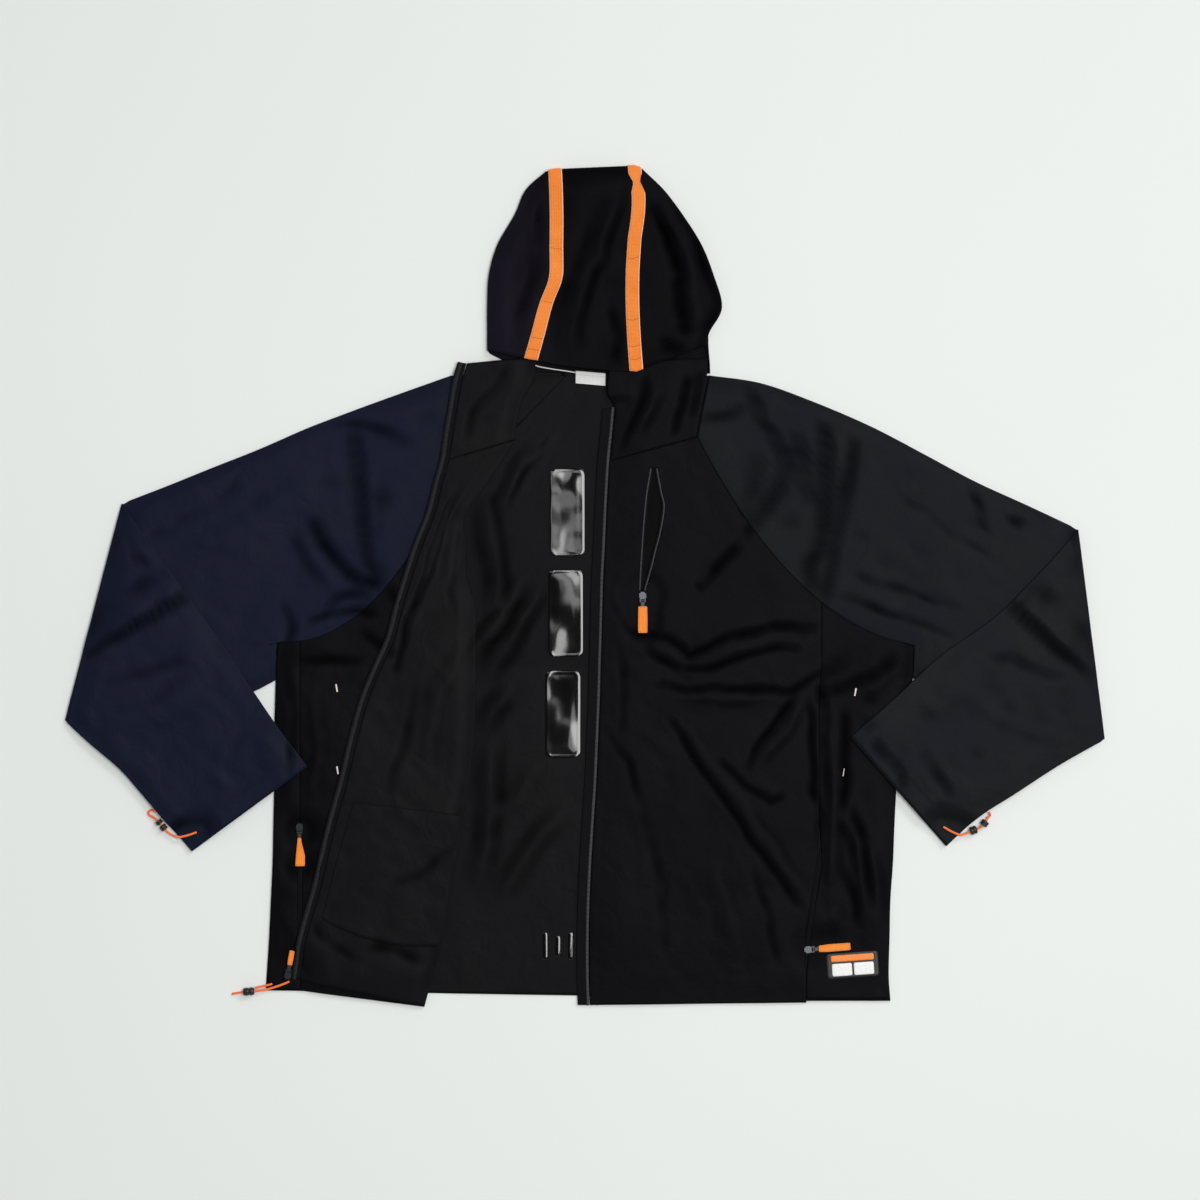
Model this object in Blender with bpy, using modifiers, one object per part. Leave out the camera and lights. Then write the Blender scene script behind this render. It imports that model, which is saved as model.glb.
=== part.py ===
"""A zip-up hooded jacket with raglan sleeves, laid flat on its back with its right front folded open.

The table it lies on is z = 0, +Y runs from the hem to the hood and +X to the viewer's right, which is the
wearer's left. Every cut piece of cloth is a wall worked out row by row: a row runs across the piece, layer
by layer, with a half-round turn wherever the cloth folds over itself. Tables are in millimetres.
"""

from math import cos, pi, radians, sin

import bmesh
import bpy
import numpy as np
from mathutils import Matrix, Vector
from mathutils.bvhtree import BVHTree

MM = 0.001

# Cloth, and how it is stacked. A level is the middle of a layer's wall.
WALL = 1.0
GAP = 0.3
SEAM = 0.25  # each piece stops this far short of its seam line
LOWEST, FRONT, TURNED, TOP = (WALL / 2 + k * (WALL + GAP) for k in range(4))
TURN_STEPS = 3

# Webbing and trims
TAPE_WALL = 0.8
TAPE_WIDTH = 16.0
ZIP_TAPE_WIDTH = 14.0
HOOD_LOWER = TAPE_WALL + GAP + WALL / 2  # the hood's lower layer lies on its two tapes
CORD_DIAMETER = 2.6

# Body, from hem to underarm: height, side fold and forward side seam on each side of the wearer
#         y_right y_left  side_right seam_right seam_left side_left
BODY_ROWS = (
    (-473, -485, -373, -333, 259, 357),
    (-455, -455, -372, -333, 259, 355),
    (-411, -411, -369, -333, 261, 356),
    (-367, -367, -367, -333, 267, 357),
    (-323, -323, -365, -333, 274, 360),
    (-274, -274, -364, -333, 274, 362),
    (-227, -227, -363, -333, 274, 365),
    (-180, -180, -363, -333, 274, 372),
    (-133, -133, -362, -333, 274, 380),
    (-96, -96, -361, -333, 276.4, 384),
    (-64.6, -69, -360, -333.2, 276.5, 385),
)
# Where the back's rows are crossed, as shares of its width: closer together where the open front shows it
BACK_SHARES = (0, 0.12, 0.24, 0.30, 0.335, 0.37, 0.405, 0.44, 0.475, 0.51, 0.56, 0.66, 0.78, 0.89, 1)

# Left front: the zip edge from hem to neck. Its side edge is the side seam, then the raglan seam.
#             zip_x zip_y
LEFT_ZIP = (
    (6, -490), (5, -455), (5, -411), (6, -367), (8, -323), (11, -274), (14, -227), (16, -180),
    (18, -133), (19, -96), (20, -63), (21, -26), (22, 11), (24, 48), (26, 95), (29, 146),
)
LEFT_HEM_Y = -487
# Right front, folded open: the edge it is folded along and its zip edge, from hem to neck
#              fold_x fold_y zip_x zip_y
RIGHT_TURNED = (
    (-188, -492, -333, -460),
    (-177, -452, -327, -420),
    (-166, -411, -318, -385),
    (-159, -367, -308, -350),
    (-151, -323, -300, -315),
    (-143, -274, -290, -274),
    (-135, -227, -277, -227),
    (-130, -180, -266, -180),
    (-128, -133, -253, -133),
    (-128, -96, -238, -96),
    (-128, -63, -223, -63),
    (-128, -26, -213, -26),
    (-139, 11, -202, 11),
    (-140, 48, -190, 48),
    (-140, 83, -176, 83),
    (-112, 124, -166, 122),
    (-82, 170, -159, 147),
)

# Raglan seams: neck end, bend and underarm end of each curve
RAGLAN_FRONT = {
    "left": ((131, 174), (244, -46), (385, -69)),
    "right": ((-131, 174), (-242, -81), (-360, -64)),
}
RAGLAN_BACK = {
    "left": ((43, 246.5), (181, 89), (385, -69)),
    "right": ((-22, 246.5), (-170, 89), (-360, -64)),
}
RAGLAN_FRONT_SHARES = {
    "left": (0, 0.15, 0.3, 0.45, 0.6, 0.75, 0.88, 1),
    "right": (0, 0.15, 0.3, 0.45, 0.6, 0.75, 0.887, 1),
}
RAGLAN_BACK_SHARES = (0, 0.12, 0.25, 0.4, 0.55, 0.7, 0.85, 1)
SEAM_SHARES = 5  # the first shares of the front raglan belong to the front, the rest to the body strip
UNDERARM_CLEARANCE = 1.2  # the sleeve's seam ends this far outside the body's corner

# Sleeves: shoulder fold and underarm fold from neck to elbow, then the forearm as it lies folded over
UPPER_ARM = {
    #       top_x top_y under_x under_y
    "left": (
        (145, 246, 386.2, -108), (205, 237, 412, -115), (265, 216, 442, -123), (335, 186, 475, -134),
        (400, 152, 510, -147), (456, 122, 543, -158), (515, 95, 576, -169), (577, 66, 608, -179),
    ),
    "right": (
        (-156, 246, -362.9, -110), (-215, 225, -390, -124), (-270, 205, -425, -132), (-325, 184, -460, -138),
        (-380, 160, -498, -143), (-438, 137, -535, -148), (-490, 116, -572, -153), (-542, 96, -608, -157),
    ),
}
FOREARM = {
    #       inner_x inner_y outer_x outer_y
    "left": (
        (577, 66, 608, -179), (528, 12, 575, -197), (478, -37, 546, -214), (415, -82, 500, -244),
        (362, -131, 460, -270), (310, -177, 422, -304),
    ),
    "right": (
        (-542, 96, -608, -157), (-480, 11, -578, -184), (-429, -60, -544, -213), (-386, -125, -520, -240),
        (-355, -170, -490, -275), (-324, -211, -459, -310),
    ),
}
RAGLAN_FADE = (1, 0.5, 0, 0, 0, 0, 0, 0)  # how much of the raglan's curve each station keeps
# Where each layer's lengthwise lines end up across the sleeve: shares from shoulder fold to underarm fold
SPREAD_FRONT = (0, 0.19, 0.30, 0.40, 0.50, 0.59, 0.67, 0.75, 0.82, 1)
SPREAD_BACK = (0, 0.14, 0.24, 0.34, 0.45, 0.55, 0.65, 0.74, 0.82, 1)
ELBOW_RADIUS = (FRONT + TURNED) / 2  # the forearm turns over round this height

# Hood: silhouette and the two lines where its three panels are sewn, from crown to brim, upper layer
#         outer_right_x y   seam_right_x y   seam_left_x y   outer_left_x y
HOOD_UPPER = (
    (-46, 485, -35, 487, 58, 491, 67, 488),
    (-69, 463, -34, 463, 60, 465, 92, 463),
    (-82, 434, -33.5, 434, 61, 434, 114, 434),
    (-102, 399, -33, 399, 58, 399, 136, 399),
    (-112, 364, -33.5, 364, 55.5, 364, 150, 364),
    (-114, 329, -46, 329, 55, 329, 160, 326),
    (-114, 300, -55, 294, 57, 288, 146, 298),
    (-113, 280, -63, 264, 60, 250, 140, 283),
)
CROWN_CLEARANCE = 1.6
BRIM_DIP = -3.0  # the brim of the middle panel hangs this far below a straight line
HOOD_NECK = ((-115, 248.5), (-68, 248.5), (61, 248.5), (148, 248.5))  # the lower layer's last row
TAPE_SIDES = {"right": 1, "left": 2}  # which seam of the hood each tape covers

# The hood's front corners: the left lies as worn, the right is turned inside out with its front
#              zip_x zip_y shoulder_x shoulder_y level
NECK_LEFT = (
    (30, 147, 130.3, 174.5, FRONT),
    (33, 185, 135.3, 200, FRONT),
    (35, 208, 138.2, 216, FRONT + 0.5),
    (26, 228, 141.8, 236, TURNED),
    (30, 264, 143.5, 266, TURNED),
)
#              zip_x zip_y fold_x fold_y under_fold_x under_fold_y shoulder_x shoulder_y
NECK_RIGHT = (
    (-159, 148, -82, 171, -82, 171, -131, 174),
    (-155, 175, -80, 190, -80, 190, -138, 194),
    (-150, 205, -74, 216, -74, 216, -146, 217),
    (-145, 235, -62, 240, -62, 236, -152, 234),
    (-138, 260, -57, 268, -58, 244, -155.5, 244),
)

# Binding over the neck seam, and a label that hangs from it: y and height of each of its rows
NECK_TAPE = ((-54, 259.5), (-34, 255.5), (-13.5, 251.5))
NECK_TAPE_WIDTH = 2.5
NECK_LABEL = ((251.5, 2.9), (246, 2.75), (237, 2.0))
NECK_LABEL_X = (-11, 24)
NECK_LABEL_SLANT = 3  # its left end on the wearer hangs this much lower

# Soft ridges in the face-up cloth: two ends, half width, height
OUTER_FOLDS = (
    (50, -62, 123, -78, 16, 3.5),
    (123, -73, 216, -40, 18, 4),
    (88, -110, 269, -96, 16, 4),
    (123, -166, 175, -233, 20, 4),
    (175, -233, 257, -365, 20, 4),
    (205, 66, 149, -7, 18, 3),
    (283, -133, 283, -323, 16, 5),
    (282, -120, 322, -100, 12, 3),
    (207, 220, 247, 153, 16, 4),
    (294, 181, 273, 19, 18, 5),
    (-270, 165, -266, 20, 14, 4),
    (-303, 62, -284, 13, 14, 4),
    (-319, -37, -257, -4, 13, 4),
    (21, 434, 16, 385, 24, 4),
    (16, 385, -8, 300, 24, 4),
    (93, 420, 128, 305, 20, 4),
    (-70, 400, -84, 320, 20, 4),
)
INNER_FOLDS = (
    (-32, -262, -88, -344, 16, 3),
)
# Room for the chest pocket's bag: x_from x_to y_from y_to ramp height
CHEST_BAG_LIFT = (25, 135, -40, 175, 24, 1.7)

# Chest pocket: its open zip leaves a gap shaped like a leaf
CHEST_GAP = (
    # y left_x right_x
    (137, 76, 85),
    (110, 71.5, 90),
    (92, 69.5, 93.5),
    (63, 67, 89),
    (40, 65.5, 83),
    (25, 64.5, 79.5),
    (-5, 63, 71),
)
CUTTER_FROM, CUTTER_DEPTH = -5, 20
CHEST_TAPE_WIDTH = 3.2
CHEST_BAG = (52, 110, -14, 146)  # x_from x_to y_from y_to

# Hand-pocket zips lie in the side seams, which part for them: y, half gap. The strips end inside the gaps.
HAND_ZIP_ROWS = ((-274, 0.2), (-323, 2.8), (-367, 2.8), (-411, 2.8), (-455, 0.2))
HAND_ZIP_ENDS = (-296, -436)

# The pocket bag sewn to the inside of the right front: left edge and right edge of each row
#            left_x left_y right_x right_y
INNER_BAG = (
    (-270, -252, -146, -267), (-281, -290, -151, -300), (-291, -325, -157, -340),
    (-300, -360, -163, -380), (-307, -387, -170, -418),
)
INNER_BAG_DIP = -14  # its lower edge hangs this far below a straight line

# Glossy tiles on the inside of the back, and small glossy pills near the hem: centre x y, width, height
TILES = ((-21, 86, 42, 104), (-23, -32, 42, 104), (-26, -150, 42, 104))
PILLS = ((-47, -421, 7, 32), (-32, -421, 7, 24), (-17, -421, 7, 32))
TILE_WALL = 0.8
TILE_RADIUS = 9.0

# Patch on the left front near the hem
PATCH = (313, -443, 60, 29, 4)  # centre x y, width, height, tilt in degrees
PATCH_WALL = 1.2
PATCH_BAR = (0, 8.6, 50, 7)  # centre along and across the patch, width, height
PATCH_TILES = ((-12.8, -4.6, 23, 14), (12.8, -4.6, 23, 14))

# Zip pulls: where each hinges, the heading its tab points to (degrees from +X), tab length, tab width
PULLS = {
    "chest": (67.5, -17.5, 270, 31, 12.5),
    "main": (-346.0, -449.0, 80, 17, 6.5),
    "hand_right": (-333.5, -288.0, 270, 33, 13.0),
    "hand_left": (267.0, -424.5, 4.5, 37, 9.0),
}
SLIDER_LENGTH, SLIDER_WIDTH, SLIDER_HEIGHT = 8.5, 8.0, 2.6
SLIDER_FROM = 2.0  # from the cross pin to the slider's body
SLIDER_ROUND, TAB_ROUND = 1.6, 1.2
PIN_RADIUS, PIN_HEIGHT, EYE_RADIUS = 0.6, 2.7, 1.5
LUG_WIDTH, LUG_LENGTH, LUG_CENTRE, LUG_OVER_PIN = 1.0, 4.6, 0.9, 1.2
LINK_LENGTH, LINK_WIDTH, LINK_WALL = 6.0, 4.2, 1.4
LINK_HEIGHT = PIN_HEIGHT - 0.4  # the middle of the link and of the tab, just below the pin
TAB_WALL = 1.6

# Drawcords: route points x, y and the least height of the centre line, which also clears what is beneath it
CORD_RADIUS = CORD_DIAMETER / 2
CORDS = {
    "hem_cord": (
        (-346, -462.5, 0), (-353, -465.5, 0), (-360, -468, 0), (-368, -470.5, 0), (-376, -472.3, 4.2),
        (-386.3, -473.4, 4.6), (-392.8, -473.9, 4.6), (-399.3, -474.4, 4.6), (-404, -475.4, 2.6),
        (-412.5, -477, 0),
    ),
    "hem_cord_return": (
        (-366, -465.3, 0), (-371, -466.6, 0), (-376.5, -467.8, 3.9), (-381, -468.8, 4), (-385, -469.6, 4),
    ),
    "cuff_cord_right": (
        (-454, -287.8, 0), (-462, -290.6, 0), (-470, -292.7, 7.2), (-475, -293.2, 7.2), (-480.5, -292, 5),
        (-486.5, -288.6, 4.2), (-490.5, -284.7, 4.2), (-493.2, -281.4, 4.2), (-497.9, -275.8, 4.2),
        (-501, -272.6, 4.2), (-505.5, -270, 2.4), (-509.6, -268, 0), (-510.5, -264.8, 0), (-507, -262, 0),
        (-502, -263, 0),
    ),
    "cuff_cord_left": (
        (419, -281.5, 0), (428, -286.7, 0), (436.5, -290.3, 7.4), (441, -290.6, 6.4), (446, -289, 4.8),
        (450, -287, 4.8), (454, -285.5, 4.8), (459.5, -283.6, 4.8), (463.8, -281, 4.8), (468, -275.8, 4.8),
        (471, -271.4, 4.4), (473.8, -268.4, 1.6), (472.6, -264.8, 0),
    ),
}
LOCKS = {
    # centre x y, heading of its axis, length, radius
    "hem_cord_lock": (-392.8, -473.9, 184.4, 13.0, 4.6),
    "cuff_lock_right": (-492.4, -282.4, 130, 6.5, 4.2),
    "cuff_cap_right": (-497.6, -276.2, 130, 5.0, 4.2),
    "cuff_lock_left": (454.0, -285.5, 20, 8.5, 4.8),
    "cuff_cap_left": (466.9, -277.2, 52, 6.5, 4.8),
}
LOCK_BORE = 2.0
CORD_FEELERS = (-1.8, 0, 1.8)  # a cord's height is read at these places round each point of its route

COLOURS = {
    "shell": (0.016, 0.017, 0.022, 0.62),
    "webbing": (0.90, 0.30, 0.06, 0.6),
    "white": (0.85, 0.85, 0.84, 0.7),
    "gloss": (0.012, 0.012, 0.013, 0.12),
    "plastic": (0.03, 0.03, 0.033, 0.4),
    "metal": (0.12, 0.12, 0.13, 0.35),
}
METALLIC = {"metal": 0.9}


def clear_scene():
    for item in list(bpy.data.objects):
        bpy.data.objects.remove(item, do_unlink=True)


def new_collection(name):
    group = bpy.data.collections.new(name)
    bpy.context.scene.collection.children.link(group)
    return group


def finish(name, kind):
    """A material of this piece's own, in the colour and gloss of its kind."""
    red, green, blue, roughness = COLOURS[kind]
    material = bpy.data.materials.new(name)
    material.use_nodes = True
    shader = material.node_tree.nodes["Principled BSDF"]
    shader.inputs["Base Color"].default_value = (red, green, blue, 1)
    shader.inputs["Roughness"].default_value = roughness
    shader.inputs["Metallic"].default_value = METALLIC.get(kind, 0)
    return material


def add_object(name, mesh, kind, group=None):
    item = bpy.data.objects.new(name, mesh)
    item.data.materials.append(finish(name, kind))
    (group or JACKET).objects.link(item)
    return item


# Curves and rows of cloth points

def line(start, end, steps):
    start, end = np.array(start, float), np.array(end, float)
    return [start + (end - start) * k / steps for k in range(steps + 1)]


def bend(curve, share):
    """The point at this share of a three-point curve."""
    a, b, c = (np.array(p, float) for p in curve)
    return (1 - share) ** 2 * a + 2 * share * (1 - share) * b + share**2 * c


def between(rows, steps):
    """Rows of numbers with steps - 1 more put evenly between each two."""
    rows = np.array(rows, float)
    found = [rows[0]]
    for low, high in zip(rows[:-1], rows[1:]):
        found += [low + (high - low) * k / steps for k in range(1, steps + 1)]
    return found


def folded(curves, levels, closed=False):
    """One row of cloth points: each curve at its own level, with a half-round turn from each to the next."""
    curves = [[np.array(p, float) for p in curve] for curve in curves]
    row = []
    for k, (curve, level) in enumerate(zip(curves, levels)):
        last = k == len(curves) - 1
        if k or closed:
            step = curve[1] - curve[0]
            curve[0] = curve[0] + step / np.linalg.norm(step) * abs(level - levels[k - 1]) / 2
        if not last or closed:
            level_after = levels[(k + 1) % len(levels)]
            radius = abs(level_after - level) / 2
            ahead = curve[-1] - curve[-2]
            ahead /= np.linalg.norm(ahead)
            curve[-1] = curve[-1] - ahead * radius
        row += [(p[0], p[1], level) for p in curve]
        if not last or closed:
            middle = (level + level_after) / 2
            for turn in range(1, TURN_STEPS):
                angle = pi * turn / TURN_STEPS
                out = curve[-1] + ahead * radius * sin(angle)
                row.append((out[0], out[1], middle + (level - middle) * cos(angle)))
    return row


def ridge(points, x0, y0, x1, y1, half_width, height):
    """The height that one soft ridge gives each point."""
    start, along = np.array((x0, y0)), np.array((x1 - x0, y1 - y0))
    share = np.clip((points - start) @ along / (along @ along), 0, 1)
    away = np.linalg.norm(points - start - share[:, None] * along, axis=1) / half_width
    return height * np.clip(1 - away**2, 0, None) ** 2


def step_up(value, low, high, ramp):
    rise = np.clip((value - low) / ramp + 1, 0, 1) * np.clip((high - value) / ramp + 1, 0, 1)
    return rise * rise * (3 - 2 * rise)


def lift(row, still=LOWEST, full=FRONT):
    """The row with the folds' heights added: face-up layers take the outer folds, the lowest the inner ones.

    What lies at the level still keeps its height, and what lies at full or above takes all of it."""
    points = np.array(row, float)
    flat, height = points[:, :2], points[:, 2]
    outer = sum(ridge(flat, *fold) for fold in OUTER_FOLDS)
    x_from, x_to, y_from, y_to, ramp, rise = CHEST_BAG_LIFT
    over_bag = step_up(flat[:, 0], x_from, x_to, ramp) * step_up(flat[:, 1], y_from, y_to, ramp)
    outer = np.maximum(outer, rise * over_bag)
    inner = sum(ridge(flat, *fold) for fold in INNER_FOLDS)
    upper_share = np.clip((height - still) / (full - still), 0, 1)
    points[:, 2] = height + outer * upper_share + inner * (height == LOWEST)
    return points


def inward(point, before, after, inner):
    """The point moved by SEAM at right angles to its edge, towards the inner point."""
    along = (after - before)[:2]
    across = np.array((-along[1], along[0]))
    if np.linalg.norm(across) < 0.3:
        across = (inner - point)[:2]
    if across @ (inner - point)[:2] < 0:
        across = -across
    moved = point.copy()
    moved[:2] += across / np.linalg.norm(across) * SEAM
    return moved


def pulled_in(rows, first=True, last=True, ends=True):
    """The grid with its edges moved in by SEAM: its first and last rows, and both ends of every row."""
    rows = [np.array(row, float) for row in rows]
    given = [row.copy() for row in rows]
    top = len(rows) - 1
    if ends:
        for i, row in enumerate(rows):
            before, after = given[max(i - 1, 0)], given[min(i + 1, top)]
            for end, inner in ((0, 1), (-1, -2)):
                row[end] = inward(given[i][end], before[end], after[end], given[i][inner])
    for wanted, i, inner in ((first, 0, 1), (last, top, top - 1)):
        if wanted:
            count = len(rows[i])
            edge = rows[i].copy()
            for j in range(count):
                before, after = edge[max(j - 1, 0)], edge[min(j + 1, count - 1)]
                rows[i][j] = inward(edge[j], before, after, rows[inner][j])
    return rows


def cloth(name, rows, kind="shell", wall=WALL, closed=False, missing=None):
    """A wall of cloth through a grid of points. missing(row, column) says which squares are left open."""
    count = len(rows[0])
    points = [tuple(c * MM for c in point) for row in rows for point in row]
    faces = []
    for i in range(len(rows) - 1):
        for j in range(count if closed else count - 1):
            if missing and missing(i, j):
                continue
            after = (j + 1) % count
            faces.append((i * count + j, i * count + after, (i + 1) * count + after, (i + 1) * count + j))
    mesh = bpy.data.meshes.new(name)
    mesh.from_pydata(points, [], faces)
    bm = bmesh.new()
    bm.from_mesh(mesh)
    bmesh.ops.delete(bm, geom=[v for v in bm.verts if not v.link_faces], context="VERTS")
    bmesh.ops.recalc_face_normals(bm, faces=bm.faces)
    bm.to_mesh(mesh)
    bm.free()
    item = add_object(name, mesh, kind)
    shell = item.modifiers.new("Wall", "SOLIDIFY")
    shell.thickness = wall * MM
    shell.offset = 0
    return item


# The body

def raglan_front(side):
    return [bend(RAGLAN_FRONT[side], share) for share in RAGLAN_FRONT_SHARES[side]]


def raglan_back(side):
    return [bend(RAGLAN_BACK[side], share) for share in RAGLAN_BACK_SHARES]


def seam_gap(y):
    """How far a side seam stands open at this height, for the hand-pocket zip."""
    heights, gaps = zip(*reversed(HAND_ZIP_ROWS))
    return float(np.interp(y, heights, gaps, left=SEAM, right=SEAM))


def make_back():
    """The back, with the strips that wrap round both sides to the forward side seams."""
    strip = 3
    rows = []
    for y_right, y_left, side_right, seam_right, seam_left, side_left in between(BODY_ROWS, 1):
        right = line((seam_right - seam_gap(y_right) + SEAM, y_right), (side_right, y_right), strip)
        right_side, left_side = np.array((side_right, y_right)), np.array((side_left, y_left))
        across = [right_side + (left_side - right_side) * s for s in BACK_SHARES]
        left = line((side_left, y_left), (seam_left + seam_gap(y_left) - SEAM, y_left), strip)
        rows.append([right, across, left])
    y_right, y_left, side_right, side_left = (BODY_ROWS[-1][k] for k in (0, 1, 2, 5))
    on_raglan = raglan_front("right")[-2]
    rows[-1][0] = [on_raglan] + line(on_raglan, (side_right, y_right), strip)[1:]
    rows[-1][2] = [(side_left, y_left)] + raglan_front("left")[-2:-5:-1]
    body = [lift(folded(row, (FRONT, LOWEST, FRONT))) for row in rows]
    edge = strip + TURN_STEPS  # points of a row before the back itself begins
    upper = []
    for right_end, left_end in list(zip(raglan_back("right"), raglan_back("left")))[-2::-1]:
        straight = [right_end + (left_end - right_end) * s for s in BACK_SHARES]
        flat = lift([(p[0], p[1], LOWEST) for p in straight])
        blank = np.zeros((edge, 3))
        upper.append(np.vstack([blank, flat, blank]))
    body = pulled_in(body, last=False)
    strip_tops = [j for j in range(len(body[-1])) if j <= edge or j >= edge + len(BACK_SHARES) - 1]
    for j in strip_tops:
        step = body[-2][j] - body[-1][j]
        body[-1][j] = body[-1][j] + step / np.linalg.norm(step) * SEAM
    for row in upper:
        row[edge] += (row[edge + 1] - row[edge]) / np.linalg.norm(row[edge + 1] - row[edge]) * SEAM
        end = edge + len(BACK_SHARES) - 1
        row[end] += (row[end - 1] - row[end]) / np.linalg.norm(row[end - 1] - row[end]) * SEAM
    first_upper = len(body) - 1

    def missing(i, j):
        return i >= first_upper and not edge <= j < edge + len(BACK_SHARES) - 1

    return cloth("back", body + upper, missing=missing)


def make_front_left():
    """The left front as worn, from the zip to the side and raglan seams."""
    seam = [(row[4], row[1]) for row in BODY_ROWS]
    seam[0] = (seam[0][0], LEFT_HEM_Y)
    side = seam + raglan_front("left")[SEAM_SHARES - 1::-1]
    rows = between([tuple(z) + tuple(s) for z, s in zip(LEFT_ZIP, side)], 2)
    across = 11
    grid = []
    for zip_x, zip_y, side_x, side_y in rows:
        side_x -= seam_gap(side_y) - SEAM if side_y < BODY_ROWS[-1][1] else 0
        grid.append(lift([(p[0], p[1], FRONT) for p in line((zip_x, zip_y), (side_x, side_y), across)]))
    return cloth("front_left", pulled_in(grid, first=False))


def make_front_right():
    """The right front: its outer part lies on the back, the rest is turned over it to show the inside."""
    seam = [(row[3], row[0]) for row in BODY_ROWS] + raglan_front("right")[-3::-1]
    rows = [tuple(u) + t for u, t in zip(seam, RIGHT_TURNED)]
    grid = []
    for under_x, under_y, fold_x, fold_y, zip_x, zip_y in rows:
        under_x += seam_gap(under_y) - SEAM if under_y < BODY_ROWS[-1][0] else 0
        under = line((under_x, under_y), (fold_x, fold_y), 5)
        over = line((fold_x, fold_y), (zip_x, zip_y), 6)
        grid.append(lift(folded((under, over), (FRONT, TURNED))))
    return cloth("front_right", pulled_in(grid, first=False))


# Sleeves

def make_sleeve(side):
    """A tube from the raglan seam to the cuff, flat, with the forearm folded over at the elbow."""
    outward = 1 if side == "left" else -1
    stations = UPPER_ARM[side]
    shoulder, underarm = stations[0][:2], stations[0][2:]
    clear = (outward * UNDERARM_CLEARANCE, 0)
    front = [shoulder] + raglan_front(side)
    front[-1] = front[-1] + clear
    front.append(underarm)
    back = [shoulder] + raglan_back(side)
    back[-1] = back[-1] + clear
    back.append(underarm)

    front, back = np.array(front, float), np.array(back, float)
    front_shares, back_shares = np.array(SPREAD_FRONT)[:, None], np.array(SPREAD_BACK)[:, None]

    def ring(top, under, keep):
        top, under = np.array(top, float), np.array(under, float)
        chord = front[-1] - front[0]
        front_bulge = front - (front[0] + chord * front_shares)
        back_bulge = back - (front[0] + chord * back_shares)
        upper = top + (under - top) * front_shares + front_bulge * keep
        lower = top + (under - top) * back_shares + back_bulge * keep
        return folded((lower[::-1], upper), (LOWEST, FRONT), closed=True)

    stations_kept = [tuple(s) + (keep,) for s, keep in zip(stations, RAGLAN_FADE)]
    rows = between(stations_kept[:3], 2) + stations_kept[3:]
    elbow_top, elbow_under = np.array(stations[-1][:2], float), np.array(stations[-1][2:], float)
    fold = (elbow_under - elbow_top) / np.linalg.norm(elbow_under - elbow_top)
    away = np.array((-fold[1], fold[0])) * (1 if outward > 0 else -1)
    if away[0] * outward < 0:
        away = -away
    grid = [lift(ring(row[:2], row[2:4], row[4])) for row in rows[:-1]]
    centre = ring(elbow_top - away * ELBOW_RADIUS, elbow_under - away * ELBOW_RADIUS, 0)
    for turn in range(TURN_STEPS + 1):
        angle = pi * turn / TURN_STEPS
        grid.append(np.array([
            (x + away[0] * (ELBOW_RADIUS - z) * sin(angle), y + away[1] * (ELBOW_RADIUS - z) * sin(angle),
             ELBOW_RADIUS - (ELBOW_RADIUS - z) * cos(angle))
            for x, y, z in centre
        ]))
    for inner_x, inner_y, outer_x, outer_y in FOREARM[side][1:]:
        grid.append(np.array([
            (x, y, 2 * ELBOW_RADIUS - z) for x, y, z in ring((inner_x, inner_y), (outer_x, outer_y), 0)
        ]))
    grid = pulled_in(grid, last=False, ends=False)
    return cloth("sleeve_" + side, grid, closed=True)


# Hood and neck

def hood_lower_rows():
    """The hood's lower layer follows the upper one, then runs on to the neck seam."""
    rows = [np.array(row, float) for row in HOOD_UPPER[:-1]]
    return rows + [np.array([c for point in HOOD_NECK for c in point])]


def brim_dip(share):
    return BRIM_DIP * 4 * share * (1 - share)


def make_hood_middle():
    across = 5
    grid = []
    upper_rows, lower_rows = [np.array(row, float) for row in HOOD_UPPER], hood_lower_rows()
    for j in range(across + 1):
        share = j / across
        upper = [row[2:4] + (row[4:6] - row[2:4]) * share for row in upper_rows]
        upper[-1] = upper[-1] + (0, brim_dip(share))
        lower = [row[2:4] + (row[4:6] - row[2:4]) * share for row in lower_rows]
        grid.append(lift(folded((upper[::-1], lower), (TOP, HOOD_LOWER)), HOOD_LOWER, TOP))
    return cloth("hood_middle", pulled_in(grid, ends=False))


def make_hood_side(side):
    outer, seam = (0, 2) if side == "right" else (6, 4)
    across = 4
    grid = []
    for k, (up, low) in enumerate(zip(HOOD_UPPER, hood_lower_rows())):
        up, low = np.array(up, float), np.array(low, float)
        if k == 0:  # both layers stop short of the tape that goes round the crown
            up[1::2] -= CROWN_CLEARANCE
            low[1::2] -= CROWN_CLEARANCE
        upper = line(up[seam:seam + 2], up[outer:outer + 2], across)
        lower = line(low[outer:outer + 2], low[seam:seam + 2], across)
        grid.append(lift(folded((upper, lower), (TOP, HOOD_LOWER)), HOOD_LOWER, TOP))
    return cloth("hood_side_" + side, pulled_in(grid, first=False, last=False))


def make_hood_tape(side):
    """Webbing over a panel seam: up the upper layer, round the crown and down under the lower layer."""
    first = 2 * TAPE_SIDES[side]
    upper_level, lower_level = TOP + WALL / 2 + GAP + TAPE_WALL / 2, TAPE_WALL / 2
    overhang = (upper_level - lower_level) / 2 - (TOP - HOOD_LOWER) / 2

    def along(rows, offset):
        """The line this far beside the seam, on the hood's own rows."""
        places = [row[first] + offset for row in rows]
        return [np.array((x, np.interp(x, row[0::2], row[1::2]))) for x, row in zip(places, rows)]

    grid = []
    for offset in (-TAPE_WIDTH / 2, 0, TAPE_WIDTH / 2):
        up, down = along(HOOD_UPPER, offset)[::-1], along(hood_lower_rows(), offset)
        up[-1] = up[-1] + (0, overhang)
        down[0] = down[0] + (0, overhang)
        grid.append(lift(folded((up, down), (upper_level, lower_level)), lower_level, upper_level))
    return cloth("hood_tape_" + side, grid, "webbing", TAPE_WALL)


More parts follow.
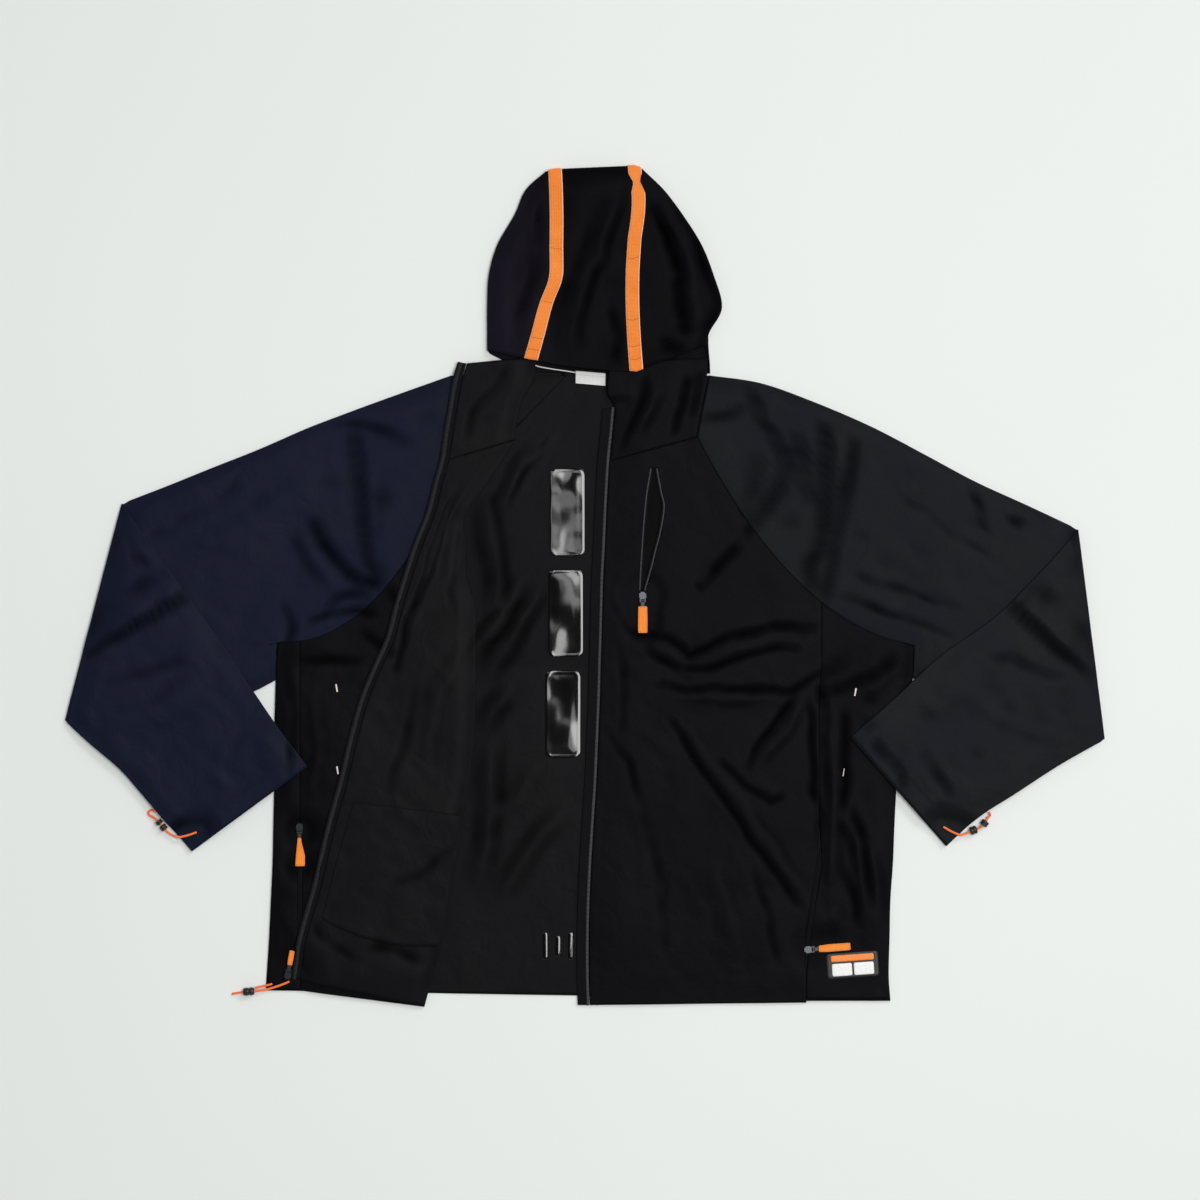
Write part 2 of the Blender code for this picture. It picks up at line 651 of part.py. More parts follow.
def make_neck_left():
    rows = between(NECK_LEFT, 1)
    grid = [[(p[0], p[1], row[4]) for p in line(row[:2], row[2:4], 5)] for row in rows]
    return cloth("hood_corner_left", pulled_in(grid, last=False))


def make_neck_right():
    grid = []
    for zip_x, zip_y, fold_x, fold_y, under_x, under_y, shoulder_x, shoulder_y in NECK_RIGHT:
        under = line((shoulder_x, shoulder_y), (under_x, under_y), 4)
        over = line((fold_x, fold_y), (zip_x, zip_y), 5)
        grid.append(folded((under, over), (FRONT, TURNED)))
    return cloth("hood_corner_right", pulled_in(grid, last=False))


def make_neck_trims():
    on_hood = HOOD_LOWER + WALL / 2 + GAP + TAPE_WALL / 2
    tape = [[(x, y, on_hood), (x, y - NECK_TAPE_WIDTH, on_hood)] for x, y in NECK_TAPE]
    cloth("neck_tape", tape, "white", TAPE_WALL)
    label = []
    for y, z in NECK_LABEL:
        across = line((NECK_LABEL_X[0], y), (NECK_LABEL_X[1], y - NECK_LABEL_SLANT), 2)
        label.append([(p[0], p[1], z) for p in across])
    cloth("neck_label", label, "white", TAPE_WALL)


# Zips

def make_zip_tapes():
    """Each half of the front zip lies edge to edge with its front, from neck to hem."""
    shares = (0, 0.5, 1)
    left = list(LEFT_ZIP) + [row[:2] for row in NECK_LEFT[1:3]]
    grid = [[(x - 2 * SEAM - ZIP_TAPE_WIDTH * s, y, FRONT) for s in shares] for x, y in left]
    cloth("zip_tape_left", grid)
    right = [row[2:] for row in RIGHT_TURNED] + [row[:2] for row in NECK_RIGHT[1:]]
    grid = [[(x - 2 * SEAM - ZIP_TAPE_WIDTH * s, y + 2 * s, TURNED) for s in shares] for x, y in right]
    cloth("zip_tape_right", grid)


def make_hand_zips():
    """The closed hand-pocket zips, each a strip in the gap of its side seam."""
    for side, column in (("right", 3), ("left", 4)):
        heights, seams = [row[0] for row in BODY_ROWS[1:7]], [row[column] for row in BODY_ROWS[1:7]]
        rows = []
        for y in (HAND_ZIP_ENDS[0], -323, -367, -411, HAND_ZIP_ENDS[1]):
            x = float(np.interp(y, heights, seams))
            half = seam_gap(y) - GAP - 0.1
            rows.append([(x + share * half, y, FRONT) for share in (-1, 0, 1)])
        cloth("hand_zip_" + side, rows, "plastic", WALL)


def make_chest_pocket(front_left):
    """The gap is cut through the front, a strip of zip tape follows each edge and the bag lies beneath."""
    outline = [(left, y) for y, left, right in CHEST_GAP]
    outline += [(right, y) for y, left, right in reversed(CHEST_GAP)]
    mesh = bpy.data.meshes.new("chest_gap")
    bm = bmesh.new()
    corners = [bm.verts.new((x * MM, y * MM, CUTTER_FROM * MM)) for x, y in outline]
    base = bm.faces.new(corners)
    moved = bmesh.ops.extrude_face_region(bm, geom=[base])["geom"]
    top = [v for v in moved if isinstance(v, bmesh.types.BMVert)]
    bmesh.ops.translate(bm, verts=top, vec=(0, 0, CUTTER_DEPTH * MM))
    bmesh.ops.recalc_face_normals(bm, faces=bm.faces)
    bm.to_mesh(mesh)
    bm.free()
    cutter = bpy.data.objects.new("chest_gap", mesh)
    CUTTERS.objects.link(cutter)
    cutter.hide_render = True
    cutter.display_type = "WIRE"
    cut = front_left.modifiers.new("Chest gap", "BOOLEAN")
    cut.object = cutter
    cut.operation = "DIFFERENCE"
    rise = CHEST_BAG_LIFT[-1]
    for side, start, sign in (("right", 1, 1), ("left", 2, -1)):
        rows = []
        for row in CHEST_GAP:
            y, width = row[0], row[2] - row[1]
            reach = min(CHEST_TAPE_WIDTH, width / 2 - 2 * GAP)
            edge = row[start] + sign * GAP
            rows.append([(edge, y, FRONT + rise), (edge + sign * (reach - GAP), y, FRONT + rise)])
        rows[0] = [(x, y - GAP, z) for x, y, z in rows[0]]
        rows[-1] = [(x, y + GAP, z) for x, y, z in rows[-1]]
        cloth("chest_zip_" + side, rows, "plastic", WALL)
    x_from, x_to, y_from, y_to = CHEST_BAG
    bag = [[(x, y, FRONT) for x in np.linspace(x_from, x_to, 3)] for y in np.linspace(y_from, y_to, 4)]
    cloth("chest_pocket_bag", bag)


def make_inner_bag():
    rows = [line(row[:2], row[2:], 5) for row in INNER_BAG]
    rows[-1] = [p + (0, INNER_BAG_DIP * 4 * k / 5 * (1 - k / 5)) for k, p in enumerate(rows[-1])]
    cloth("pocket_bag_right", [[(p[0], p[1], TOP) for p in row] for row in rows])


def surface_height(items, points):
    """The highest point of these pieces' surfaces above each of the given places, in millimetres."""
    graph = bpy.context.evaluated_depsgraph_get()
    top = 0.0
    for item in items:
        mesh = item.evaluated_get(graph).to_mesh()
        tree = BVHTree.FromPolygons([v.co for v in mesh.vertices], [p.vertices[:] for p in mesh.polygons])
        for x, y in points:
            hit = tree.ray_cast(Vector((x * MM, y * MM, 0.1)), Vector((0, 0, -1)))[0]
            if hit:
                top = max(top, hit.z / MM)
        item.evaluated_get(graph).to_mesh_clear()
    return top


def box_mesh(bm, size, centre):
    made = bmesh.ops.create_cube(bm, size=1)["verts"]
    bmesh.ops.scale(bm, verts=made, vec=[s * MM for s in size])
    bmesh.ops.translate(bm, verts=made, vec=[c * MM for c in centre])
    return made


def barrel_mesh(bm, radius, length, centre, sides=12):
    """A cylinder along local X."""
    made = bmesh.ops.create_cone(
        bm, cap_ends=True, segments=sides, radius1=radius * MM, radius2=radius * MM, depth=length * MM,
        matrix=Matrix.Translation([c * MM for c in centre]) @ Matrix.Rotation(pi / 2, 4, "Y"),
    )["verts"]
    return made


def from_bmesh(name, build, kind, place, group=None):
    mesh = bpy.data.meshes.new(name)
    bm = bmesh.new()
    build(bm)
    bm.to_mesh(mesh)
    bm.free()
    item = add_object(name, mesh, kind, group)
    item.matrix_world = place
    return item


def boolean(item, other, operation):
    step = item.modifiers.new(operation.title(), "BOOLEAN")
    step.object = other
    step.operation = operation
    other.hide_render = True
    other.display_type = "WIRE"


def make_pull(name, supports):
    """A slider with a cross pin, and the link and webbing tab that swing on it.

    Local +Y is the slider's nose, and the tab points to local -Y."""
    x, y, heading, tab_length, tab_width = PULLS[name]
    towards = Vector((cos(radians(heading)), sin(radians(heading))))

    def highest(start, end, width):
        """The highest cloth under the strip from start to end along the pull."""
        places = []
        for share in (0, 0.25, 0.5, 0.75, 1):
            middle = Vector((x, y)) + towards * (start + (end - start) * share)
            for across in (-0.5, 0, 0.5):
                places.append(tuple(middle + towards.orthogonal() * width * across))
        return surface_height(supports, places)

    tab_underside = LINK_HEIGHT - TAB_WALL / 2
    base = GAP + max(
        highest(-SLIDER_FROM - SLIDER_LENGTH, SLIDER_FROM, SLIDER_WIDTH),
        highest(LINK_LENGTH, LINK_LENGTH + GAP + tab_length, tab_width) - tab_underside,
    )
    place = Matrix.Translation((x * MM, y * MM, base * MM)) @ Matrix.Rotation(radians(heading + 90), 4, "Z")

    def rounded_box(bm, size, centre, radius):
        """A box whose four upright edges are rounded."""
        corners = box_mesh(bm, size, centre)
        edges = {e for v in corners for e in v.link_edges if abs(e.verts[0].co.z - e.verts[1].co.z) > MM}
        bmesh.ops.bevel(bm, geom=list(edges), offset=radius * MM, segments=2, affect="EDGES")

    def slider(bm):
        size = (SLIDER_WIDTH, SLIDER_LENGTH, SLIDER_HEIGHT)
        rounded_box(bm, size, (0, SLIDER_FROM + SLIDER_LENGTH / 2, SLIDER_HEIGHT / 2), SLIDER_ROUND)

    def lug(bm, side):
        height = PIN_HEIGHT + LUG_OVER_PIN
        centre = (side * (LINK_WIDTH / 2 + GAP + LUG_WIDTH / 2), LUG_CENTRE, height / 2)
        box_mesh(bm, (LUG_WIDTH, LUG_LENGTH, height), centre)

    def link(bm):
        box_mesh(bm, (LINK_WIDTH, LINK_LENGTH, LINK_WALL), (0, -LINK_LENGTH / 2, LINK_HEIGHT))

    def tab(bm):
        middle = -LINK_LENGTH - GAP - tab_length / 2
        rounded_box(bm, (tab_width, tab_length, TAB_WALL), (0, middle, LINK_HEIGHT), TAB_ROUND)

    def round_bar(radius, width, sides):
        """A round bar along the pin's axis."""
        return lambda bm: barrel_mesh(bm, radius, width, (0, 0, PIN_HEIGHT), sides)

    def hidden(part, build, kind):
        """A shape that another is joined with or cut by."""
        return from_bmesh(f"{name}_{part}", build, kind, place, CUTTERS)

    slide = from_bmesh(name + "_slider", slider, "metal", place)
    for side in (-1, 1):
        boolean(slide, hidden(f"lug_{side}", lambda bm, s=side: lug(bm, s), "metal"), "UNION")
    boolean(slide, hidden("pin", round_bar(PIN_RADIUS, LINK_WIDTH + 2, 10), "metal"), "UNION")

    plate = from_bmesh(name + "_link", link, "plastic", place)
    boolean(plate, hidden("eye", round_bar(EYE_RADIUS, LINK_WIDTH, 14), "plastic"), "UNION")
    boolean(plate, hidden("bore", round_bar(PIN_RADIUS + GAP, LINK_WIDTH + 4, 14), "plastic"), "DIFFERENCE")

    from_bmesh(name + "_tab", tab, "webbing", place)


# Flat applied pieces

def rounded_plate(name, centre, size, radius, base, wall, kind, tilt=0.0, steps=3):
    """A flat plate with round corners: a filled 2D curve extruded by half its thickness."""
    half_x, half_y = size[0] / 2 - radius, size[1] / 2 - radius
    outline = []
    for corner, (sign_x, sign_y) in enumerate(((1, 1), (-1, 1), (-1, -1), (1, -1))):
        for step in range(steps + 1):
            angle = pi / 2 * (corner + step / steps)
            outline.append((sign_x * half_x + radius * cos(angle), sign_y * half_y + radius * sin(angle)))
    curve = bpy.data.curves.new(name, "CURVE")
    curve.dimensions = "2D"
    curve.fill_mode = "BOTH"
    curve.extrude = wall / 2 * MM
    spline = curve.splines.new("POLY")
    spline.points.add(len(outline) - 1)
    for point, (px, py) in zip(spline.points, outline):
        point.co = (px * MM, py * MM, 0, 1)
    spline.use_cyclic_u = True
    item = bpy.data.objects.new(name, curve)
    item.data.materials.append(finish(name, kind))
    JACKET.objects.link(item)
    item.location = (centre[0] * MM, centre[1] * MM, (base + wall / 2) * MM)
    item.rotation_euler.z = radians(tilt)
    return item


def make_applied(back, front_left):
    on_back = WALL + GAP
    for number, (x, y, width, height) in enumerate(TILES, 1):
        name = f"gloss_tile_{number}"
        rounded_plate(name, (x, y), (width, height), TILE_RADIUS, on_back, TILE_WALL, "gloss")
    for number, (x, y, width, height) in enumerate(PILLS, 1):
        name = f"gloss_pill_{number}"
        rounded_plate(name, (x, y), (width, height), width / 2, on_back, TILE_WALL, "gloss")
    x, y, width, height, tilt = PATCH
    corners = [(x + sx * width / 2, y + sy * height / 2) for sx in (-1, 0, 1) for sy in (-1, 0, 1)]
    base = surface_height([back, front_left], corners) + GAP
    rounded_plate("patch", (x, y), (width, height), 3, base, PATCH_WALL, "plastic", tilt)
    turn = Matrix.Rotation(radians(tilt), 2)
    raised = base + PATCH_WALL + GAP
    pieces = [("patch_bar", PATCH_BAR, "webbing")]
    pieces += [(f"patch_tile_{k}", tile, "white") for k, tile in enumerate(PATCH_TILES, 1)]
    for name, (along, across, wide, high), kind in pieces:
        off = turn @ Vector((along, across))
        rounded_plate(name, (x + off.x, y + off.y), (wide, high), 1.5, raised, TILE_WALL, kind, tilt, 2)


# Drawcords

def smooth_route(points, per_span):
    """A smooth curve through the route's own points."""
    points = np.array(points, float)
    padded = np.vstack([2 * points[0] - points[1], points, 2 * points[-1] - points[-2]])
    found = []
    for k in range(1, len(padded) - 2):
        before, start, end, after = padded[k - 1:k + 3]
        for step in range(per_span):
            t = step / per_span
            square, cube = 2 * before - 5 * start + 4 * end - after, 3 * start - before - 3 * end + after
            found.append(0.5 * (2 * start + (end - before) * t + square * t**2 + cube * t**3))
    return found + [points[-1]]


def make_cord(name, supports):
    """A plain tube that lies on the cloth beneath it, and on the table beyond the cloth's edge."""
    resting = []
    for x, y, least in CORDS[name]:
        places = [(x + dx, y + dy) for dx in CORD_FEELERS for dy in CORD_FEELERS]
        height = surface_height(supports, places)
        resting.append((x, y, max(least, height + GAP + CORD_RADIUS)))
    route = smooth_route(resting, 2)
    curve = bpy.data.curves.new(name, "CURVE")
    curve.dimensions = "3D"
    curve.bevel_depth = CORD_RADIUS * MM
    curve.bevel_resolution = 2
    curve.use_fill_caps = True
    spline = curve.splines.new("POLY")
    spline.points.add(len(route) - 1)
    for point, (x, y, z) in zip(spline.points, route):
        point.co = (x * MM, y * MM, z * MM, 1)
    item = bpy.data.objects.new(name, curve)
    item.data.materials.append(finish(name, "webbing"))
    JACKET.objects.link(item)


def make_lock(name):
    """A short barrel with a bore along its axis, lying on the table."""
    x, y, heading, length, radius = LOCKS[name]
    place = Matrix.Translation((x * MM, y * MM, radius * MM)) @ Matrix.Rotation(radians(heading), 4, "Z")

    def outside(bm):
        barrel_mesh(bm, radius, length, (0, 0, 0), 16)

    def bore(bm):
        barrel_mesh(bm, LOCK_BORE, length + 4, (0, 0, 0), 10)

    lock = from_bmesh(name, outside, "plastic", place)
    boolean(lock, from_bmesh(name + "_bore", bore, "plastic", place, CUTTERS), "DIFFERENCE")


def build():
    back = make_back()
    front_left = make_front_left()
    front_right = make_front_right()
    sleeves = {side: make_sleeve(side) for side in ("left", "right")}
    make_hood_middle()
    for side in ("left", "right"):
        make_hood_side(side)
        make_hood_tape(side)
    make_neck_left()
    make_neck_right()
    make_neck_trims()
    make_zip_tapes()
    make_hand_zips()
    make_chest_pocket(front_left)
    make_inner_bag()
    make_applied(back, front_left)
    bpy.context.view_layer.update()
    cloth_pieces = [item for item in JACKET.objects if item.type == "MESH"]
    for name in PULLS:
        make_pull(name, cloth_pieces)
    for name in CORDS:
        make_cord(name, [back, front_right, *sleeves.values()])
    for name in LOCKS:
        make_lock(name)


clear_scene()
JACKET = new_collection("zip_up_jacket")
CUTTERS = new_collection("cutters")
build()
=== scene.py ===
# %% [markdown]
# # A hooded zip-up jacket, laid flat
#
# The real thing is a light windbreaker of near-black woven polyester. It lies on its back on a white
# table with the sleeves folded in at the elbows, and its right front is folded open, so that the lining
# side shows. This lesson rebuilds it as a maker would: cut the cloth, lay it in layers, sew it, then add
# webbing, zips and cords. A cloth simulation could crumple it too, but each fold in the photograph has
# its own place, so here folds are written down and added one by one.

# %% The imported model
from math import cos, pi, radians, sin

import bmesh
import bpy
import numpy as np
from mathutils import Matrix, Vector
from numpy.linalg import norm


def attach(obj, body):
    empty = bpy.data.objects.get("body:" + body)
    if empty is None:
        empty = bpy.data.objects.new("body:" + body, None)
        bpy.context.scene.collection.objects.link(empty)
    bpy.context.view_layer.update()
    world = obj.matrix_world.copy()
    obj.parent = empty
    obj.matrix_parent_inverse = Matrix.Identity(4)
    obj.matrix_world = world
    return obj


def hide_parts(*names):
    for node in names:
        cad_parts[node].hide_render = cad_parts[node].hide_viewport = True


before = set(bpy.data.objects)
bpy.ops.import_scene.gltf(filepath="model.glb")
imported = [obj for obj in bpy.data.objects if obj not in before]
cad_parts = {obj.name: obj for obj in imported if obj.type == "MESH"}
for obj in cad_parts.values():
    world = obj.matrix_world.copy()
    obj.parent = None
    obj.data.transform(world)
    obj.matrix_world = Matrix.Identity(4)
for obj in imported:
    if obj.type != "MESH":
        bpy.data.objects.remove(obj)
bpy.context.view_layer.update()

MM = 0.001

# %% [markdown]
# ## Camera
#
# The photograph was taken from straight above. A long lens high up keeps the outline free of
# perspective, so 1 200 pixels across are 1.404 m of table.

# %% Camera
PICTURE_WIDTH, CAMERA_HEIGHT = 1.404, 3.9
PICTURE_CENTRE = (0.0176, -0.0164)


def placed(name, data):
    """An object in the scene that shows this data."""
    made = bpy.data.objects.new(name, data)
    bpy.context.scene.collection.objects.link(made)
    return made


lens = bpy.data.cameras.new("overhead")
lens.sensor_width = 36
lens.lens = lens.sensor_width * CAMERA_HEIGHT / PICTURE_WIDTH
lens.clip_end = 20
camera = placed("overhead", lens)
camera.location = (*PICTURE_CENTRE, CAMERA_HEIGHT)
bpy.context.scene.camera = camera
print("lens:", round(lens.lens), "mm")

# %% [markdown]
# ## Small tools for materials
#
# Colours are written as sRGB hex, as a colour picker shows them, and one function turns them to the
# linear numbers that Blender works in. One more adds a node with its settings and links.

# %% Colours
def colour(code):
    """An sRGB hex colour as linear red, green, blue and alpha."""
    parts = [int(code[i:i + 2], 16) / 255 for i in (1, 3, 5)]
    return (*((c / 12.92 if c <= 0.04045 else ((c + 0.055) / 1.055) ** 2.4) for c in parts), 1.0)

print("mid grey is", round(colour("#808080")[0], 3), "in linear light")

# %% Nodes
def node(tree, kind, inputs=None, **settings):
    """Adds a node. Its inputs take a value, or the output of another node."""
    made = tree.nodes.new(kind)
    for name, value in settings.items():
        setattr(made, name, value)
    for key, value in (inputs or {}).items():
        socket = made.inputs[key]
        if isinstance(value, bpy.types.NodeSocket):
            tree.links.new(value, socket)
        else:
            socket.default_value = value
    return made


def new_finish(name, **sockets):
    """A Principled material with these plain sockets set. Returns it, its tree and its shader."""
    material = bpy.data.materials.new(name)
    material.use_nodes = True
    shader = material.node_tree.nodes["Principled BSDF"]
    for key, value in sockets.items():
        shader.inputs[key.replace("_", " ")].default_value = value
    return material, material.node_tree, shader


def maths(tree, operation, *numbers, **settings):
    """The result of one Math node."""
    return node(tree, "ShaderNodeMath", dict(enumerate(numbers)), operation=operation, **settings).outputs[0]


def ranged(tree, value, low, high, to_low=0.0, to_high=1.0):
    """A value carried over from one range to another."""
    return node(tree, "ShaderNodeMapRange", {
        "Value": value, "From Min": low, "From Max": high, "To Min": to_low, "To Max": to_high}).outputs[0]


def mixed(tree, share, first, second):
    """Two colours, mixed by a share."""
    made = node(tree, "ShaderNodeMix", {"Factor": share, "A": first, "B": second}, data_type="RGBA")
    return made.outputs["Result"]


def noise(tree, place, scale, detail, **more):
    """Noise in the piece's own space, with this many bumps to a metre."""
    return node(tree, "ShaderNodeTexNoise", {
        "Vector": place["Object"], "Scale": scale, "Detail": detail, **more}).outputs[0]

# %% [markdown]
# ## Woven shell cloth
#
# The shell is a plain-weave polyester in near-black with a blue cast, calendered so that it has a low,
# broad gleam and almost no nap. Real threads are 0.2 mm apart, which no camera this high can see, so
# the weave is drawn at 1.1 mm. It follows the cut of each piece through its UV map, which is in metres.
# Fine crinkles that a mesh would be too coarse for come from noise, as bump. Where the mesh's hollow
# attribute marks a crease, the finish turns dull, and its colour is darkened as painted shade. The sleeves
# and the hood are painted lighter towards one side, as painted light.

# %% Shell cloth
THREAD, THREAD_DEPTH = 1.1 * MM, 0.12 * MM
# noise, in bumps to a metre: patches of tone some 110 mm wide, and crinkles some 26 mm wide
PATCHES, CRINKLES, CRINKLE_DEPTH = 9.0, 38.0, 2.2 * MM
# what a hollow takes from the colour as painted shade, and what it adds to the roughness
HOLLOW_PAINTED_SHADE, HOLLOW_DULL = 0.9, 0.6


def shell_cloth(name, dark, light, gleam, painted_light_towards=None):
    """Plain weave in patches of two close tones. With two X given, painted light makes it lighter towards the
    first.
    """
    material, tree, shader = new_finish(
        name, Roughness=0.55, Specular_IOR_Level=gleam, Sheen_Weight=0.02, Sheen_Roughness=0.4,
        Sheen_Tint=colour("#8F99B8"),
    )
    place = node(tree, "ShaderNodeTexCoord").outputs
    thread = node(tree, "ShaderNodeVectorMath", {
        0: place["UV"], 1: (2 * pi / THREAD,) * 3}, operation="MULTIPLY")
    axes = node(tree, "ShaderNodeSeparateXYZ", {0: thread.outputs[0]}).outputs
    weave = maths(tree, "MULTIPLY", maths(tree, "SINE", axes["X"]), maths(tree, "SINE", axes["Y"]))
    patchy = noise(tree, place, PATCHES, 4.0)
    share = patchy
    # painted light: the tone drifts lighter towards the first X
    if painted_light_towards:
        across = node(tree, "ShaderNodeSeparateXYZ", {0: place["Object"]}).outputs["X"]
        painted_light_drift = ranged(tree, across, painted_light_towards[0] * MM, painted_light_towards[1] * MM, 0.5, -0.4)
        share = maths(tree, "ADD", painted_light_drift, share, use_clamp=True)
    tone = mixed(tree, share, colour(dark), colour(light))
    fleck = ranged(tree, weave, -1.0, 1.0, 0.8, 1.2)
    # painted shade: in a hollow of the mesh the colour is darkened
    hollow = node(tree, "ShaderNodeAttribute", attribute_name="hollow").outputs["Fac"]
    depth = maths(tree, "MULTIPLY", fleck, maths(tree, "MULTIPLY_ADD", hollow, -HOLLOW_PAINTED_SHADE, 1.0))
    speckled_and_shaded = node(tree, "ShaderNodeVectorMath", {0: tone, "Scale": depth}, operation="SCALE")
    crinkle = noise(tree, place, CRINKLES, 5.0, Roughness=0.55, Distortion=0.6)
    crease = node(tree, "ShaderNodeBump", {"Height": crinkle, "Strength": 0.5, "Distance": CRINKLE_DEPTH})
    fine = node(tree, "ShaderNodeBump", {
        "Height": weave, "Strength": 0.3, "Distance": THREAD_DEPTH, "Normal": crease.outputs[0]})
    worn = ranged(tree, patchy, 0.3, 0.7, 0.4, 0.52)
    dull = maths(tree, "MULTIPLY_ADD", hollow, HOLLOW_DULL, worn, use_clamp=True)
    tree.links.new(speckled_and_shaded.outputs[0], shader.inputs["Base Color"])
    tree.links.new(dull, shader.inputs["Roughness"])
    tree.links.new(fine.outputs[0], shader.inputs["Normal"])
    return material


SHELL = shell_cloth("woven polyester, fronts", "#080808", "#0D0C12", 0.034)
# painted light: the sleeves turn lighter and bluer, and the hood lighter, towards one side
SLEEVE_SHELL = shell_cloth("woven polyester, sleeves", "#131518", "#121628", 0.056, painted_light_towards=(-250, 100))
LINING = shell_cloth("woven polyester, inside", "#101010", "#100F14", 0.046)
HOOD_SHELL = shell_cloth("woven polyester, hood", "#080709", "#18151F", 0.026, painted_light_towards=(-112, -20))
# painted shade: the pocket bag is near black, as the inside of a deep pocket in shade
SHADED_POCKET = shell_cloth("pocket bag", "#040405", "#060607", 0.03)
print("cloths:", "; ".join(made.name for made in (SHELL, SLEEVE_SHELL, LINING, HOOD_SHELL, SHADED_POCKET)))

# %% [markdown]
# ## Webbing, tape and trims
#
# The bright stripes and pulls are polyester webbing: ribs run across it, and its selvedges are a little
# paler. The cord is the same yarn, braided, and zip tape is a flat, dull twill. A picture of webbing would
# blur close up, so two sine waves along the piece's own UV map draw its ribs, and bump them too.

# %% Webbing and cord finishes
SELVEDGE = "#FFB68A"
# ribs the other way are this much wider and weaker; ribs and stains change the tone
CROSS_RIB, CROSS_SHARE, RIB_TONE, STAINS = 1.7, 0.4, 0.22, 60.0


def ribbed(name, body, pale, rib, direction="X", width=None, gleam=0.35, nap=0.1):
    """Woven webbing: ribs this far apart along the UV map, and paler selvedges if its width is given."""
    material, tree, shader = new_finish(name, Roughness=0.62, Specular_IOR_Level=gleam, Sheen_Weight=nap)
    place = node(tree, "ShaderNodeTexCoord").outputs
    axes = node(tree, "ShaderNodeSeparateXYZ", {0: place["UV"]}).outputs
    wave = maths(tree, "SINE", maths(tree, "MULTIPLY", axes[direction], 2 * pi / rib))
    other = "X" if direction == "Y" else "Y"
    braid = maths(tree, "SINE", maths(tree, "MULTIPLY", axes[other], 2 * pi / (rib * CROSS_RIB)))
    both = maths(tree, "MULTIPLY_ADD", braid, CROSS_SHARE, wave)
    amount = maths(tree, "MULTIPLY_ADD", both, RIB_TONE, noise(tree, place, STAINS, 3.0))
    tone = mixed(tree, amount, colour(body), colour(pale))
    if width:
        away = maths(tree, "ABSOLUTE", maths(tree, "SUBTRACT", axes["X"], width / 2))
        selvedge = ranged(tree, away, width / 2 - 1.3 * MM, width / 2 - 0.7 * MM)
        tone = mixed(tree, selvedge, tone, colour(SELVEDGE))
    bump = node(tree, "ShaderNodeBump", {"Height": both, "Strength": 0.6, "Distance": 0.25 * MM})
    tree.links.new(tone, shader.inputs["Base Color"])
    tree.links.new(bump.outputs[0], shader.inputs["Normal"])
    return material


STRIPE = ribbed("orange hood webbing", "#EC781E", "#F8923A", 1.6 * MM, "Y", width=16 * MM)
PULL_WEBBING = ribbed("orange pull webbing", "#F5801F", "#FF9C42", 1.4 * MM, "Y")
CORD_BRAID = ribbed("orange braided cord", "#F26028", "#FF8A4C", 1.5 * MM, "Y")
BINDING = ribbed("white satin label", "#DCDDDB", "#F4F4F2", 0.9 * MM, "Y")
ZIP_TWILL = ribbed("black zip tape", "#08080A", "#101013", 1.0 * MM, "X", gleam=0.08, nap=0.0)
print("trims:", "; ".join(made.name for made in (STRIPE, PULL_WEBBING, CORD_BRAID, BINDING, ZIP_TWILL)))

# %% [markdown]
# ## Film, plastic, metal and thread
#
# The tiles inside the back are heat-bonded film, with slow wobbles that bend what they mirror. Locks are
# moulded nylon, the patch is moulded rubber, a zip's coil is nylon too and the sliders are plated zinc.
# All are smooth bodies with a grain, so one function makes them, and only its numbers change.

# %% Film, moulded plastic, metal and thread
def moulded(name, tint, rough, grain, depth, detail=3.0, **more):
    """A smooth moulded or coated surface with a fine grain."""
    material, tree, shader = new_finish(name, Roughness=rough, **more)
    fine = noise(tree, node(tree, "ShaderNodeTexCoord").outputs, grain, detail)
    shade = ranged(tree, fine, 0, 1, 0.8, 1.2)
    toned = node(tree, "ShaderNodeVectorMath", {0: colour(tint)[:3], "Scale": shade}, operation="SCALE")
    bump = node(tree, "ShaderNodeBump", {"Height": fine, "Strength": 0.5, "Distance": depth})
    tree.links.new(toned.outputs[0], shader.inputs["Base Color"])
    tree.links.new(bump.outputs[0], shader.inputs["Normal"])
    return material


FILM = moulded(
    "glossy bonded film", "#050506", 0.08, 17.0, 7.0 * MM, detail=0.7, Coat_Weight=0.4, Coat_Roughness=0.04)
NYLON = moulded("black moulded nylon", "#141416", 0.42, 900.0, 0.04 * MM)
COIL = moulded("nylon zip coil", "#0D0D0F", 0.5, 700.0, 0.03 * MM, Specular_IOR_Level=0.06)
DIM_COIL = moulded("dark grey nylon zip coil", "#28292D", 0.42, 700.0, 0.03 * MM, Specular_IOR_Level=0.25)
# painted highlight: a real nylon coil, coloured grey to stand for the light caught along the open zips' edges
GREY_HIGHLIGHT_COIL = moulded("grey nylon zip coil", "#505154", 0.4, 700.0, 0.03 * MM, Specular_IOR_Level=0.25)
RUBBER = moulded("black moulded rubber", "#101012", 0.5, 500.0, 0.05 * MM)
ORANGE_RUBBER = moulded("orange moulded rubber", "#F0842A", 0.5, 500.0, 0.05 * MM)
WHITE_RUBBER = moulded("white moulded rubber", "#E9EAE8", 0.45, 500.0, 0.05 * MM)
GUNMETAL = moulded("gunmetal plated zinc", "#3E4045", 0.28, 600.0, 0.02 * MM, Metallic=0.9)
THREAD_DARK = moulded("black sewing thread", "#0C0C10", 0.6, 900.0, 0.02 * MM, Specular_IOR_Level=0.1)
THREAD_BROWN = moulded("dark thread on webbing", "#7A3A14", 0.6, 900.0, 0.02 * MM)
THREAD_PALE = moulded("pale thread", "#EDE6DC", 0.6, 900.0, 0.02 * MM)
print("materials in the file:", len(bpy.data.materials))

# %% [markdown]
# ## Curves through a table
#
# A pattern maker draws an edge through a few measured points. Each table here has one row for each
# measured height, and a cubic curve runs through the rows, so that two pieces that read the same table
# share one seam.

